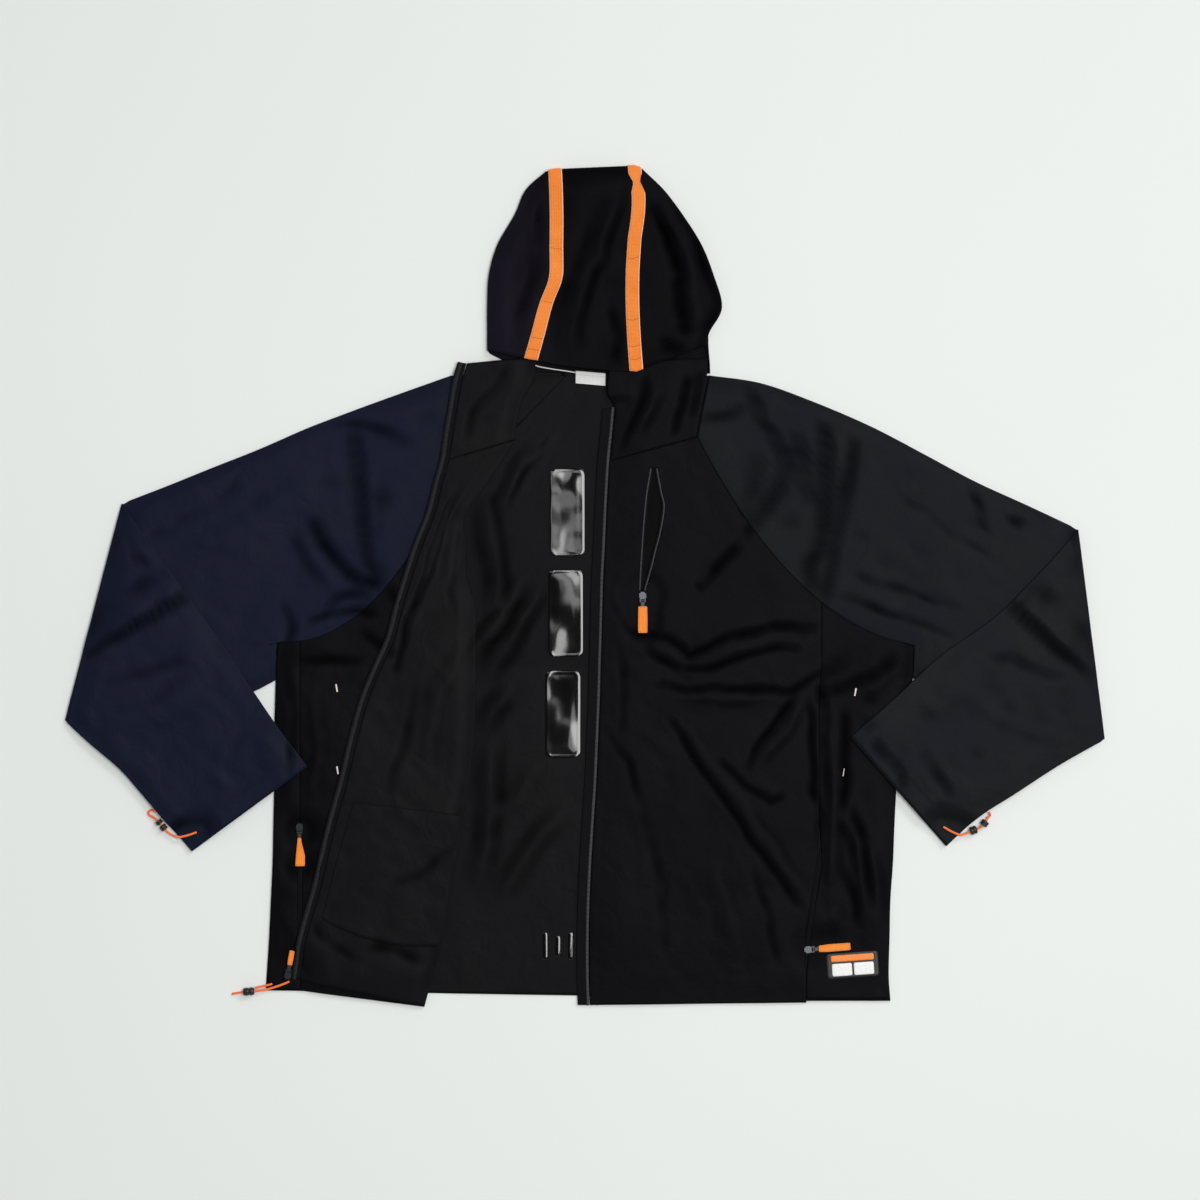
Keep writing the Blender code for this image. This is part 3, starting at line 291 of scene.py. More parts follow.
# %% Reading a table as a smooth curve
def smooth(table, at):
    """The table's columns at these row numbers, on a cubic curve through its rows."""
    table, at = np.array(table, float), np.atleast_1d(np.array(at, float))
    slope = np.gradient(table, axis=0)
    low = np.clip(at.astype(int), 0, len(table) - 2)
    t = (at - low)[:, None]
    start, end, leave, arrive = table[low], table[low + 1], slope[low], slope[low + 1]
    return (
        (2 * t**3 - 3 * t**2 + 1) * start + (t**3 - 2 * t**2 + t) * leave
        + (3 * t**2 - 2 * t**3) * end + (t**3 - t**2) * arrive
    )


def bend(curve, share):
    """Points of a three-point curve at these shares of it."""
    a, b, c = (np.array(p, float) for p in curve)
    s = np.atleast_1d(share)[:, None]
    return (1 - s) ** 2 * a + 2 * s * (1 - s) * b + s**2 * c


# next to a sewn end, points lie this far from it, in millimetres; a plain end has none of these
SEWN_END = (0, 0.8, 2.2)
PLAIN = {"fine_start": False, "fine_end": False}


def shares(lengths, cells, fine_start=True, fine_end=True, inset=(0, 0)):
    """Shares of each length, evenly spread, and closer together next to a sewn end."""
    lengths = np.atleast_1d(lengths).astype(float)[:, None]
    lead = np.array(SEWN_END if fine_start else (0,)) + inset[0]
    tail = np.array(SEWN_END if fine_end else (0,)) + inset[1]
    middle = lead[-1] + (lengths - lead[-1] - tail[-1]) * np.linspace(0, 1, cells + 1)
    begin = np.repeat(lead[None, :-1], len(lengths), axis=0)
    finish = lengths - np.repeat(tail[None, :-1][:, ::-1], len(lengths), axis=0)
    return np.concatenate([begin, middle, finish], axis=1) / lengths


def row_numbers(curve, last_row, cell, exact=(), **ends):
    """Row numbers about a cell apart along a curve that is read by row number. Some are hit exactly."""
    fine = np.linspace(0, last_row, 40 * int(last_row) + 1)
    run = np.concatenate([[0], np.cumsum(norm(np.diff(curve(fine), axis=0), axis=1))])
    numbers = np.interp(shares(run[-1], round(run[-1] / cell), **ends)[0] * run[-1], run, fine)
    for wanted in exact:
        numbers[np.abs(numbers - wanted).argmin()] = wanted
    return numbers


print("halfway from row 0 to row 1:", smooth(((0, 0), (10, 4), (20, 0)), 0.5)[0])

# %% [markdown]
# ## Layers
#
# The jacket is four layers deep at most. The lowest lies on the table, the fronts on it, then the
# turned-back front or a forearm's underside, then a forearm's upper side. A row of cloth runs along a
# layer and goes up to the next one in a half-round turn.

# %% Stacking layers
WALL = 0.6
STEP = 1.3
LOWEST, FRONT, TURNED, TOP = (0.5 + STEP * k for k in range(4))
HOOD_LOWER = 1.6
TURN_STEPS = 6
# further from a turned edge than any cloth here reaches
FAR = 1e3


def straight(starts, ends, cells, **ends_kept):
    """Rows of points from each start to its end."""
    share = shares(norm(ends - starts, axis=1), cells, **ends_kept)
    return starts[:, None] + (ends - starts)[:, None] * share[:, :, None]


def layered(strips, levels, closed=False):
    """Joins strips of rows with half-round turns. Returns the points, and how far each lies from a turn."""
    strips = [np.array(s, float) for s in strips]
    parts, near = [], []
    count = len(strips)
    for k, strip in enumerate(strips):
        before = levels[k - 1] if k or closed else None
        after = levels[(k + 1) % count] if k < count - 1 or closed else None
        steps = norm(np.diff(strip, axis=1), axis=2)
        run = np.concatenate([np.zeros((len(strip), 1)), np.cumsum(steps, axis=1)], axis=1)
        reach = np.full(run.shape, FAR)
        if before is not None:
            ahead = strip[:, 1] - strip[:, 0]
            strip[:, 0] += ahead / norm(ahead, axis=1)[:, None] * abs(levels[k] - before) / 2
            reach = np.minimum(reach, run)
        if after is not None:
            ahead = strip[:, -1] - strip[:, -2]
            ahead /= norm(ahead, axis=1)[:, None]
            radius = abs(after - levels[k]) / 2
            strip[:, -1] -= ahead * radius
            reach = np.minimum(reach, run[:, -1:] - run)
        parts.append(np.dstack([strip, np.full(strip.shape[:2], levels[k])]))
        near.append(reach)
        if after is not None:
            angles = pi * np.arange(1, TURN_STEPS) / TURN_STEPS
            out = strip[:, -1][:, None] + ahead[:, None] * radius * np.sin(angles)[None, :, None]
            middle = (after + levels[k]) / 2
            height = middle + (levels[k] - middle) * np.cos(angles)
            parts.append(np.dstack([out, np.broadcast_to(height, out.shape[:2])]))
            near.append(np.zeros(out.shape[:2]))
    return np.concatenate(parts, axis=1), np.concatenate(near, axis=1)


print("layers, mm above the table:", [round(level, 1) for level in (LOWEST, FRONT, TURNED, TOP)])

# %% [markdown]
# ## Folds
#
# A fold is a soft ridge along a short line: steep on one side, long on the other, and fading at its
# ends. Each belongs to a layer and also lifts whatever lies on that layer, as it would on a table, so
# no two layers ever cut through each other. Broad, shallow swells from seeded noise keep the cloth
# between the folds from looking pressed.

# %% Swells
FIELD_SIZE, FIELD_CENTRE = 64, 30
# squares of random heights, each the same every time
FIELDS = [np.random.default_rng(seed).normal(0, 0.5, (FIELD_SIZE,) * 2) for seed in (3, 14, 15, 92, 65)]


def easing(t, start=0.0):
    """From start to 1 while t goes from 0 to 1, slow at both ends."""
    return start + (1 - start) * t * t * (3 - 2 * t)


def swell(x, y, field, wave_x, wave_y, turn=0.0):
    """Smooth noise with bumps about this long in X and Y."""
    across, up = x * cos(turn) + y * sin(turn), y * cos(turn) - x * sin(turn)
    u, v = across / wave_x + FIELD_CENTRE, up / wave_y + FIELD_CENTRE
    i, j = np.floor(u).astype(int), np.floor(v).astype(int)
    s, t = easing(u - i), easing(v - j)
    pick = lambda a, b: FIELDS[field][(i + a) % FIELD_SIZE, (j + b) % FIELD_SIZE]
    return (pick(0, 0) * (1 - s) + pick(1, 0) * s) * (1 - t) + (pick(0, 1) * (1 - s) + pick(1, 1) * s) * t


print("swell at the middle of the jacket:", round(float(swell(np.zeros(1), np.zeros(1), 0, 60, 60)[0]), 3))

# %% Folds of the left front, in millimetres
# layer, half width, height (below 0 is a valley), lean to its left side, then the points of its crest
FOLDS = (
    # two hanging waves below the chest pocket, a level one, then diagonals to the side seam
    (1, 9, -2.9, 0.2, (27, -23), (52, -50), (95, -61), (122, -83), (149, -67), (214, -50), (273, -48)),
    (1, 12, 1.6, 0.0, (60, -66), (98, -78), (122, -98), (152, -82), (214, -62)),
    (1, 8, -2.7, 0.2, (62, -66), (105, -94), (149, -96), (190, -80), (250, -72)),
    (1, 7, -2.7, 0.1, (84, -118), (187, -121), (241, -125), (273, -104), (305, -96)),
    (1, 12, 1.4, 0.0, (96, -132), (180, -134), (236, -136)),
    (1, 6, -1.4, 0.1, (104, -133), (160, -138), (214, -137)),
    (1, 8, -2.6, 0.3, (241, -128), (226, -155), (205, -184), (190, -212)),
    (1, 13, 2.2, -0.5, (251, -140), (233, -172), (206, -208)),
    (1, 9, -3.1, -0.2, (100, -156), (132, -207), (165, -250), (203, -304), (251, -374)),
    (1, 15, 2.0, -0.4, (120, -168), (150, -212), (186, -258), (222, -310), (262, -372)),
    (1, 6, -2.8, 0.2, (160, -204), (187, -234), (214, -253), (229, -245)),
    (1, 9, -1.6, 0.0, (25, -170), (51, -207), (62, -250)),
    (1, 12, -1.3, 0.0, (60, -250), (85, -330), (92, -420)),
    (1, 16, 1.6, -0.3, (150, -330), (172, -400), (180, -455)),
    (1, 10, -1.3, 0.1, (196, -330), (214, -384), (222, -440)),
    (1, 9, -1.2, 0.2, (36, -70), (44, -120), (40, -170)),
)

# %% Folds of the side seam on the left
FOLDS += (
    # the seam sinks between two ridges, then crumples below the forearm
    (1, 10, -3.0, -0.3, (262, -140), (268, -207), (272, -288), (272, -330)),
    (1, 10, 3.2, 0.4, (285, -138), (289, -207), (287, -300), (284, -350)),
    (1, 10, -2.2, 0.2, (303, -150), (303, -210), (299, -262)),
    (1, 10, -2.4, 0.2, (274, -112), (274, -141)),
    (1, 10, -2.4, 0.2, (276, -124), (305, -118), (336, -104), (366, -84)),
    (1, 10, 2.4, 0.3, (316, -130), (345, -112), (372, -90)),
    (1, 8, 2.4, 0.4, (300, -268), (318, -300), (326, -366)),
    (1, 10, -2.2, 0.2, (312, -262), (328, -300), (335, -360)),
    (1, 8, 2.2, -0.3, (326, -290), (342, -330), (346, -385)),
    (1, 10, -1.8, 0.2, (300, -330), (318, -372), (322, -405)),
    (1, 9, 1.8, 0.3, (288, -380), (300, -405), (290, -440)),
)

# %% Folds of the left sleeve
FOLDS += (
    # from the neck down the armhole
    (1, 10, -2.8, 0.2, (132, -7), (159, 25), (178, 48)),
    (1, 10, -3.2, 0.0, (186, 60), (205, 84), (225, 111), (235, 138), (232, 158)),
    (1, 10, -2.6, 0.2, (189, 234), (209, 190), (226, 165), (236, 138)),
    (1, 10, -2.4, 0.2, (247, 180), (251, 150), (257, 117), (264, 90)),
    (1, 10, -3.2, 0.1, (279, 190), (281, 138), (278, 63), (264, 20), (262, -7)),
    (1, 9, 2.4, 0.3, (294, 168), (293, 110), (284, 50), (270, 4)),
    (1, 9, -2.8, 0.3, (315, 175), (308, 128), (295, 74), (284, 20), (278, -18)),
    (1, 10, -1.8, 0.3, (133, 196), (165, 197), (188, 210)),
    (1, 10, -1.6, 0.3, (200, 150), (196, 110), (180, 80)),
    (1, 10, -1.6, 0.2, (450, 120), (466, 69), (474, 62)),
    (1, 10, -1.6, -0.3, (484, 88), (500, 78), (512, 82)),
    (1, 22, 1.8, 0.2, (330, 60), (400, 20), (450, -40)),
    (1, 14, -1.2, -0.2, (350, 120), (430, 60), (500, 10)),
    (1, 10, -1.9, 0.3, (300, -12), (365, -36), (430, -60)),
    (1, 10, -1.5, 0.3, (320, 10), (380, -8), (440, -30)),
)

# %% Folds of the right sleeve and right side
FOLDS += (
    # a hard crease above the armhole, and the hollow it pulls in
    (1, 9, -4.6, 0.3, (-271, 178), (-266, 140), (-264, 92), (-258, 40), (-246, 2)),
    (1, 9, 3.8, 0.4, (-255, 118), (-252, 66), (-246, 24), (-236, -6)),
    (1, 9, -3.8, -0.2, (-247, 92), (-246, 44), (-236, 4), (-222, -16)),
    (1, 11, -5.2, 0.3, (-318, 74), (-310, 50), (-296, 30), (-270, 10), (-246, -4)),
    (1, 11, 2.0, 0.3, (-330, 58), (-316, 26), (-292, -8)),
    (1, 10, -1.8, 0.1, (-300, 190), (-262, 192), (-228, 180), (-206, 164)),
    (1, 9, -3.4, 0.3, (-326, -46), (-296, -34), (-266, -30), (-246, -34)),
    (1, 9, -3.4, -0.3, (-306, -30), (-290, -10), (-266, -8), (-250, -22)),
    (1, 10, -1.6, 0.3, (-534, 60), (-530, 30), (-512, 24)),
    (1, 22, 1.8, 0.2, (-330, 120), (-400, 70), (-460, 40)),
    (1, 14, -1.2, 0.2, (-380, 150), (-430, 100), (-520, 50)),
    (1, 10, -1.8, 0.2, (-352, -20), (-345, -60), (-352, -95)),
    # right side strip and the covered part of its front, pulled towards the armhole
    (1, 10, -2.2, 0.2, (-340, -87), (-302, -86), (-262, -90)),
    (1, 10, -2.2, 0.2, (-262, -52), (-246, -66), (-226, -82)),
    (1, 10, -1.8, 0.2, (-350, -104), (-345, -150), (-347, -220)),
    (1, 8, 1.6, 0.2, (-318, -120), (-312, -190), (-322, -260)),
    (1, 10, -1.6, 0.2, (-352, -262), (-344, -300), (-352, -350)),
    (1, 10, -1.4, 0.2, (-366, -388), (-352, -402), (-346, -430)),
)

# %% Folds of the back and turned front
FOLDS += (
    # inside of the back
    (0, 11, 4.2, -0.4, (-50, -6), (-72, -40), (-92, -74), (-108, -104)),
    (0, 10, 3.6, 0.4, (-76, 8), (-96, -22), (-114, -52), (-128, -74)),
    (0, 12, 3.8, -0.4, (-116, 98), (-106, 52), (-100, 8), (-104, -30)),
    (0, 11, 3.6, -0.4, (-56, 164), (-80, 126), (-100, 86)),
    (0, 10, 3.4, -0.4, (-88, -126), (-104, -142), (-116, -166)),
    (0, 12, 3.0, -0.3, (-108, -180), (-108, -240), (-112, -300), (-122, -350)),
    (0, 10, 2.4, 0.3, (-28, -262), (-71, -308), (-104, -364)),
    (0, 11, 1.3, 0.2, (-60, -210), (-80, -250), (-112, -270)),
    (0, 9, 1.3, 0.3, (-40, 180), (-70, 120), (-90, 90)),
    # the turned-back front
    (2, 9, -1.8, 0.3, (-91, 252), (-131, 202), (-140, 170)),
    (2, 8, -3.4, 0.3, (-151, 112), (-172, 62), (-194, -2), (-214, -68), (-226, -100)),
    (2, 8, 2.0, -0.4, (-57, 250), (-74, 216), (-82, 172)),
    (2, 9, -1.6, 0.3, (-106, 110), (-146, 60), (-158, -20)),
    (2, 12, 1.6, -0.3, (-135, -60), (-170, -120), (-182, -200)),
    (2, 9, -1.4, 0.3, (-200, -120), (-215, -200), (-232, -246)),
    (2, 9, -1.5, 0.3, (-318, -392), (-300, -416), (-270, -440)),
    (2, 9, -1.7, 0.3, (-262, -428), (-222, -424), (-190, -446)),
    (2, 9, -1.4, -0.3, (-172, 20), (-160, 70), (-134, 104)),
    (2, 10, -1.3, 0.2, (-150, -300), (-180, -330), (-230, -350)),
    # hood corner on the left, standing from the neck
    (1, 7, -2.6, 0.3, (71, 245), (60, 200), (37, 159)),
    (1, 9, 2.2, -0.3, (84, 232), (76, 200), (60, 176)),
    (1, 8, -2.6, 0.2, (121, 244), (113, 212), (101, 180)),
    (1, 7, -1.6, 0.2, (136, 250), (130, 226), (124, 196)),
)

# %% Folds of the forearms
FOLDS += (
    # one hard tuck below each elbow, then soft waves
    (2, 20, 5.4, -0.58, (-455, 6), (-476, -4), (-530, -40), (-600, -84)),
    (2, 10, -2.4, 0.0, (-470, -10), (-532, -50), (-588, -86)),
    (2, 10, -1.6, 0.1, (-527, 60), (-530, 38), (-514, 28)),
    (2, 18, 1.5, 0.2, (-450, -110), (-500, -150), (-560, -160)),
    (2, 11, -1.3, -0.2, (-400, -180), (-430, -230), (-440, -270)),
    (2, 12, -1.2, -0.2, (-470, -90), (-510, -100), (-560, -112)),
    (2, 20, 4.8, 0.58, (490, -4), (545, -52), (600, -104)),
    (2, 10, -2.0, 0.0, (500, -20), (540, -60), (586, -104)),
    (2, 18, 1.5, 0.2, (440, -120), (500, -160), (556, -180)),
    (2, 11, -1.4, -0.2, (392, -190), (420, -230), (440, -260)),
    (2, 10, -1.6, 0.3, (330, -175), (360, -205), (372, -235)),
    (2, 12, -1.2, -0.2, (470, -80), (510, -92), (556, -106)),
)

# %% Folds of the hood
FOLDS += (
    (3, 15, 4.6, -0.5, (37, 450), (13, 378), (-11, 315), (-16, 284)),
    (3, 17, 3.8, -0.3, (90, 452), (115, 408), (129, 352), (137, 292)),
    (3, 13, -3.8, 0.0, (72, 444), (96, 412), (110, 354), (121, 288)),
    (3, 20, 3.4, 0.3, (-54, 427), (-50, 364), (-70, 300)),
    (3, 10, -1.8, 0.0, (-56, 444), (-55, 410), (-54, 378)),
    (3, 12, -2.6, 0.0, (90, 284), (104, 277), (120, 270)),
    (3, 10, -1.8, 0.3, (30, 330), (40, 290), (34, 262)),
    (3, 9, -1.8, 0.3, (100, 300), (125, 290), (145, 300)),
)
print("folds:", len(FOLDS), "of which valleys:", sum(fold[2] < 0 for fold in FOLDS))

# %% One fold
# cloth creases more sharply than it swells
VALLEY_WIDTH = 0.82
# how far a crest wanders, in waves of what length, and the waves that make it uneven
CREST_WANDER, WANDER_WAVE, UNEVEN_WAVE = 4, 26, 18
# share of its height that a fold still has at its ends, and its reach in half widths, lean included
END_SHARE, FOLD_REACH = 0.25, 1.6


def ridge(x, y, half_width, height, lean, points):
    """The height that one fold gives each place. Its crest wanders, and is uneven along its length."""
    points = np.array(points, float)
    drift_x = CREST_WANDER * swell(x, y, 4, WANDER_WAVE, WANDER_WAVE, 0.2)
    drift_y = CREST_WANDER * swell(x, y, 1, WANDER_WAVE, WANDER_WAVE, 1.2)
    uneven = 0.9 + 0.35 * swell(x, y, 3, UNEVEN_WAVE, UNEVEN_WAVE, 0.7)
    x, y = x + drift_x, y + drift_y
    lengths = norm(np.diff(points, axis=0), axis=1)
    total, run = lengths.sum(), 0.0
    best = np.full(x.shape, 1e9)
    side, share = np.zeros(x.shape), np.zeros(x.shape)
    for start, end, length in zip(points[:-1], points[1:], lengths):
        along = (end - start) / length
        dx, dy = x - start[0], y - start[1]
        t = np.clip(dx * along[0] + dy * along[1], 0, length)
        away = np.hypot(dx - t * along[0], dy - t * along[1])
        nearer = away < best
        best = np.where(nearer, away, best)
        side = np.where(nearer, np.sign(along[0] * dy - along[1] * dx), side)
        share = np.where(nearer, (run + t) / total, share)
        run += length
    width = half_width * (VALLEY_WIDTH if height < 0 else 1) * (1 + lean * side)
    fade = np.clip(4 * share * (1 - share), 0, 1) ** 0.6 * (1 - END_SHARE) + END_SHARE
    return height * uneven * fade * np.clip(1 - (best / width) ** 2, 0, None) ** 2


profile = ridge(np.zeros(5), np.linspace(-8, 8, 5), 10, 2.0, 0.4, ((-50, 0), (50, 0)))
print("a fold 2 mm high, cut through every 4 mm:", profile.round(1))

# %% [markdown]
# ## Where folds may rise
#
# Cloth stays flat under a slider or a patch, lies down at a free edge, and is pressed where a sleeve rolls
# over at the elbow. Without such places the folds would swallow the hard pieces.

# %% The places that stay flat
# x, y, radius: cloth held flat by a slider, a patch, an eyelet or a pocket bag
CALM = (
    (67.5, -12, 26), (67, -45, 22), (-346, -452, 34), (-333, -288, 26), (-334, -325, 22), (267, -424, 26),
    (295, -422, 26), (313, -443, 46), (-368, -470, 30), (-455, -289, 26), (420, -283, 26), (440, -288, 20),
    (-475, -290, 18),
)
# share of the radius that is quite flat, and over which folds come back
CALM_CORE, CALM_RAMP = 0.45, 0.9
# each elbow's fold, from its top to its underside, and how far beside it the cloth is pressed
ELBOWS = ((577, 66, 608, -179), (-542, 96, -608, -157))
PRESSED_REACH, PRESSED_SHARE = 30, 0.3
# what the bag of the chest pocket lifts: x from and to, y from and to, ramp, height
CHEST_BAG_LIFT = (25, 135, -40, 175, 24, 1.7)


def calmed(x, y):
    """1 where folds may rise freely, 0 where the cloth is held flat, and little at the elbows' folds."""
    free = np.ones(x.shape)
    for px, py, radius in CALM:
        free *= easing(np.clip((np.hypot(x - px, y - py) - CALM_CORE * radius) / (CALM_RAMP * radius), 0, 1))
    for x0, y0, x1, y1 in ELBOWS:
        across = np.abs((x - x0) * (y1 - y0) - (y - y0) * (x1 - x0)) / np.hypot(x1 - x0, y1 - y0)
        free *= easing(np.clip(across / PRESSED_REACH, 0, 1), PRESSED_SHARE)
    return free


def step_up(value, low, high, ramp):
    """1 from low to high, and down to 0 over a ramp on both sides."""
    return easing(np.clip((value - low) / ramp + 1, 0, 1) * np.clip((high - value) / ramp + 1, 0, 1))


# free edges lie down: the left front's zip edge as x at these heights, and the hem
ZIP_EDGE_Y, ZIP_EDGE_X = (-490, -367, -274, -180, -63, 48, 146), (-8, -8, -3, 2, 6, 10, 15)
HEM_Y, ZIP_LIES, HEM_LIES = -490, 55, 45


def lying_down(x, y):
    """Small next to the left front's free edges, and 1 away from them."""
    from_zip = np.clip((x - np.interp(y, ZIP_EDGE_Y, ZIP_EDGE_X)) / ZIP_LIES, 0, 1)
    from_zip = np.where((x > -60) & (y < 220), from_zip, 1)
    from_hem = np.clip((y - HEM_Y) / HEM_LIES, 0, 1)
    return easing(from_zip, PRESSED_SHARE) * easing(from_hem, PRESSED_SHARE)


print("held flat:", len(CALM), "places and", len(ELBOWS), "elbows")

# %% The height of each layer
SWELLS = (
    # least height, share of it lost on a forearm, then the swells: height, noise field, wave x, wave y, turn
    (0.3, 0.0, (0.7, 2, 60, 80, 0.4), (0.3, 3, 24, 36, -0.3)),
    (3.1, 0.0, (1.7, 0, 88, 70, 0.5), (0.8, 1, 34, 52, -0.6), (0.4, 2, 13, 24, 0.9)),
    (1.7, 0.5, (1.2, 3, 70, 84, 0.3), (0.5, 4, 22, 34, -0.4)),
    (2.0, 0.7, (1.1, 2, 52, 66, 1.1), (0.4, 0, 18, 28, 0.2)),
)
# forearms lie flatter than the turned front and the hood: they begin this far out, and within this ramp
FOREARM_FROM, FOREARM_RAMP = 330, 60
# within this distance of a turned edge, layers stay thin
TURN_REACH = 22


def layer_lift(x, y, layer):
    """What one layer adds to the height of everything from it upwards."""
    height = np.zeros(x.shape)
    for fold_layer, half_width, rise, lean, *points in FOLDS:
        if fold_layer == layer:
            reach = half_width * FOLD_REACH
            crest = np.array(points)
            low, high = crest.min(0) - reach, crest.max(0) + reach
            inside = (x > low[0]) & (x < high[0]) & (y > low[1]) & (y < high[1])
            height[inside] += ridge(x[inside], y[inside], half_width, rise, lean, points)
    least, lost, broad, fine, *finer = SWELLS[layer]
    flatter = np.clip((np.abs(x) - FOREARM_FROM) / FOREARM_RAMP, 0, 1)
    bumps = lambda size, *waves: size * swell(x, y, *waves)
    height += (least + bumps(*broad)) * (1 - lost * flatter) + bumps(*fine)
    for waves in finer:
        height += bumps(*waves)
    height = np.clip(height, 0, None) * calmed(x, y)
    if layer == 1:
        height *= lying_down(x, y)
        x_low, x_high, y_low, y_high, ramp, rise = CHEST_BAG_LIFT
        height = np.maximum(height, rise * step_up(x, x_low, x_high, ramp) * step_up(y, y_low, y_high, ramp))
    return height

print("front layer at the middle, mm added:", layer_lift(np.zeros(1), np.zeros(1), 1).round(1)[0])

# %% Lifting a grid
def lifted(points, near=None, low=0, order=None):
    """The points raised by the folds of their own layer and of those beneath it.

    Near a turned edge, the layers from low upwards stay thin. An order, counted in layers from the table,
    is worked out from the height, unless it is given."""
    points = np.array(points, float)
    known = ~np.isnan(points[..., 0])
    x, y, z = (points[known][:, k] for k in range(3))
    order = (z - LOWEST) / STEP if order is None else np.broadcast_to(order, known.shape)[known]
    low = np.broadcast_to(low, known.shape)[known]
    edge = np.clip((np.full(x.shape, FAR) if near is None else near[known]) / TURN_REACH, 0, 1)
    thin = easing(edge, PRESSED_SHARE)
    rise = np.zeros(x.shape)
    for layer in range(4):
        share = np.clip(order - layer + 1, 0, 1) if layer else np.ones(x.shape)
        raised = share > 0
        extra = layer_lift(x[raised], y[raised], layer)
        rise[raised] += share[raised] * extra * np.where(low[raised] > layer, 1, thin[raised])
    points[known, 2] = z + rise
    return points


middle = lifted([[(0, 0, level)] for level in (LOWEST, FRONT)])
print("cloth at the middle of the jacket, mm up:", middle[:, 0, 2].round(1))

# %% [markdown]
# ## From points to cloth
#
# A grid of points becomes a mesh with a UV map in metres: U runs across the cut piece and V along it, so
# that the weave follows the cut. Solidify then gives it a wall. At a sewn edge the stitches draw the
# cloth in and down, which leaves the shallow valley that every seam shows.

# %% Cloth from a grid
GRIDS, AREAS = {}, {}
# a point this far below the cloth round it starts to count as sunk, and this much deeper it is a full hollow,
# with full painted shade
HOLLOW_FROM, HOLLOW_DEPTH = 0.08, 0.6
# seams draw the cloth down within this reach; cloth that lies on the table is left as it is
SEAM_REACH, ON_TABLE, LOWEST_MIDDLE = 2.6, 0.36, 0.34


def hollows(points):
    """0 on level cloth, and up to 1 where a point lies well below the cloth round it."""
    z = points[..., 2]
    rows, columns = z.shape
    padded = np.pad(z, 2, mode="edge")
    near = np.array([padded[i:i + rows, j:j + columns] for i in range(5) for j in range(5)])
    around = np.nan_to_num(near).sum(axis=0) / np.maximum(np.isfinite(near).sum(axis=0), 1)
    sunk = np.pad(np.nan_to_num(np.clip((around - z - HOLLOW_FROM) / HOLLOW_DEPTH, 0, 1)), 1, mode="edge")
    return np.mean([sunk[i:i + rows, j:j + columns] for i in range(3) for j in range(3)], axis=0)

print("hollows of a level patch:", hollows(np.zeros((4, 4, 3))).max())

# %% Measuring along a grid
def run_along(points, axis):
    """How far each point lies along its row (axis 1) or its column (axis 0)."""
    steps = np.nan_to_num(norm(np.diff(points, axis=axis), axis=2))
    first = np.zeros((1, points.shape[1])) if axis == 0 else np.zeros((points.shape[0], 1))
    return np.concatenate([first, np.cumsum(steps, axis=axis)], axis=axis)


def reach_of(points, edge):
    """How far each point is from a sewn edge of its grid: start, end, first or last."""
    run = run_along(points, 1 if edge in ("start", "end") else 0)
    if edge == "end":
        return run[:, -1:] - run
    return run[-1:] - run if edge == "last" else run


def drawn_down(points, *edges, depth=0.4, also=None):
    """The points lowered next to sewn edges."""
    reach = np.min([reach_of(points, edge) for edge in edges] + ([also] if also is not None else []), axis=0)
    points = points.copy()
    dip = depth * np.clip(1 - reach / SEAM_REACH, 0, None) ** 2
    z = points[..., 2]
    points[..., 2] = np.where(z > ON_TABLE, np.maximum(z - dip, LOWEST_MIDDLE), z)
    return points


def cut_area(points):
    """The area of a grid in square metres."""
    across = np.cross(points[1:, 1:] - points[:-1, :-1], points[1:, :-1] - points[:-1, 1:])
    return float(np.nansum(norm(across, axis=2))) / 2 * MM * MM

print("a square metre measures", cut_area(np.array([[(0, 0, 0), (1e3, 0, 0)], [(0, 1e3, 0), (1e3, 1e3, 0)]])))

# %% From a grid to a piece of cloth
def piece(name, vertices, faces, finish, uv=None):
    """A smooth mesh in the scene, with its finish and its UV map."""
    mesh = bpy.data.meshes.new(name)
    mesh.from_pydata(vertices, [], faces)
    mesh.materials.append(finish)
    mesh.shade_smooth()
    if uv is not None:
        mesh.uv_layers.new(name="cut").data.foreach_set("uv", np.asarray(uv, np.float32).ravel())
    return placed(name, mesh)


def applied(made):
    """The piece with its modifiers made part of its mesh."""
    graph = bpy.context.evaluated_depsgraph_get()
    mesh = bpy.data.meshes.new_from_object(
        made.evaluated_get(graph), preserve_all_data_layers=True, depsgraph=graph)
    made.modifiers.clear()
    made.data = mesh
    return made


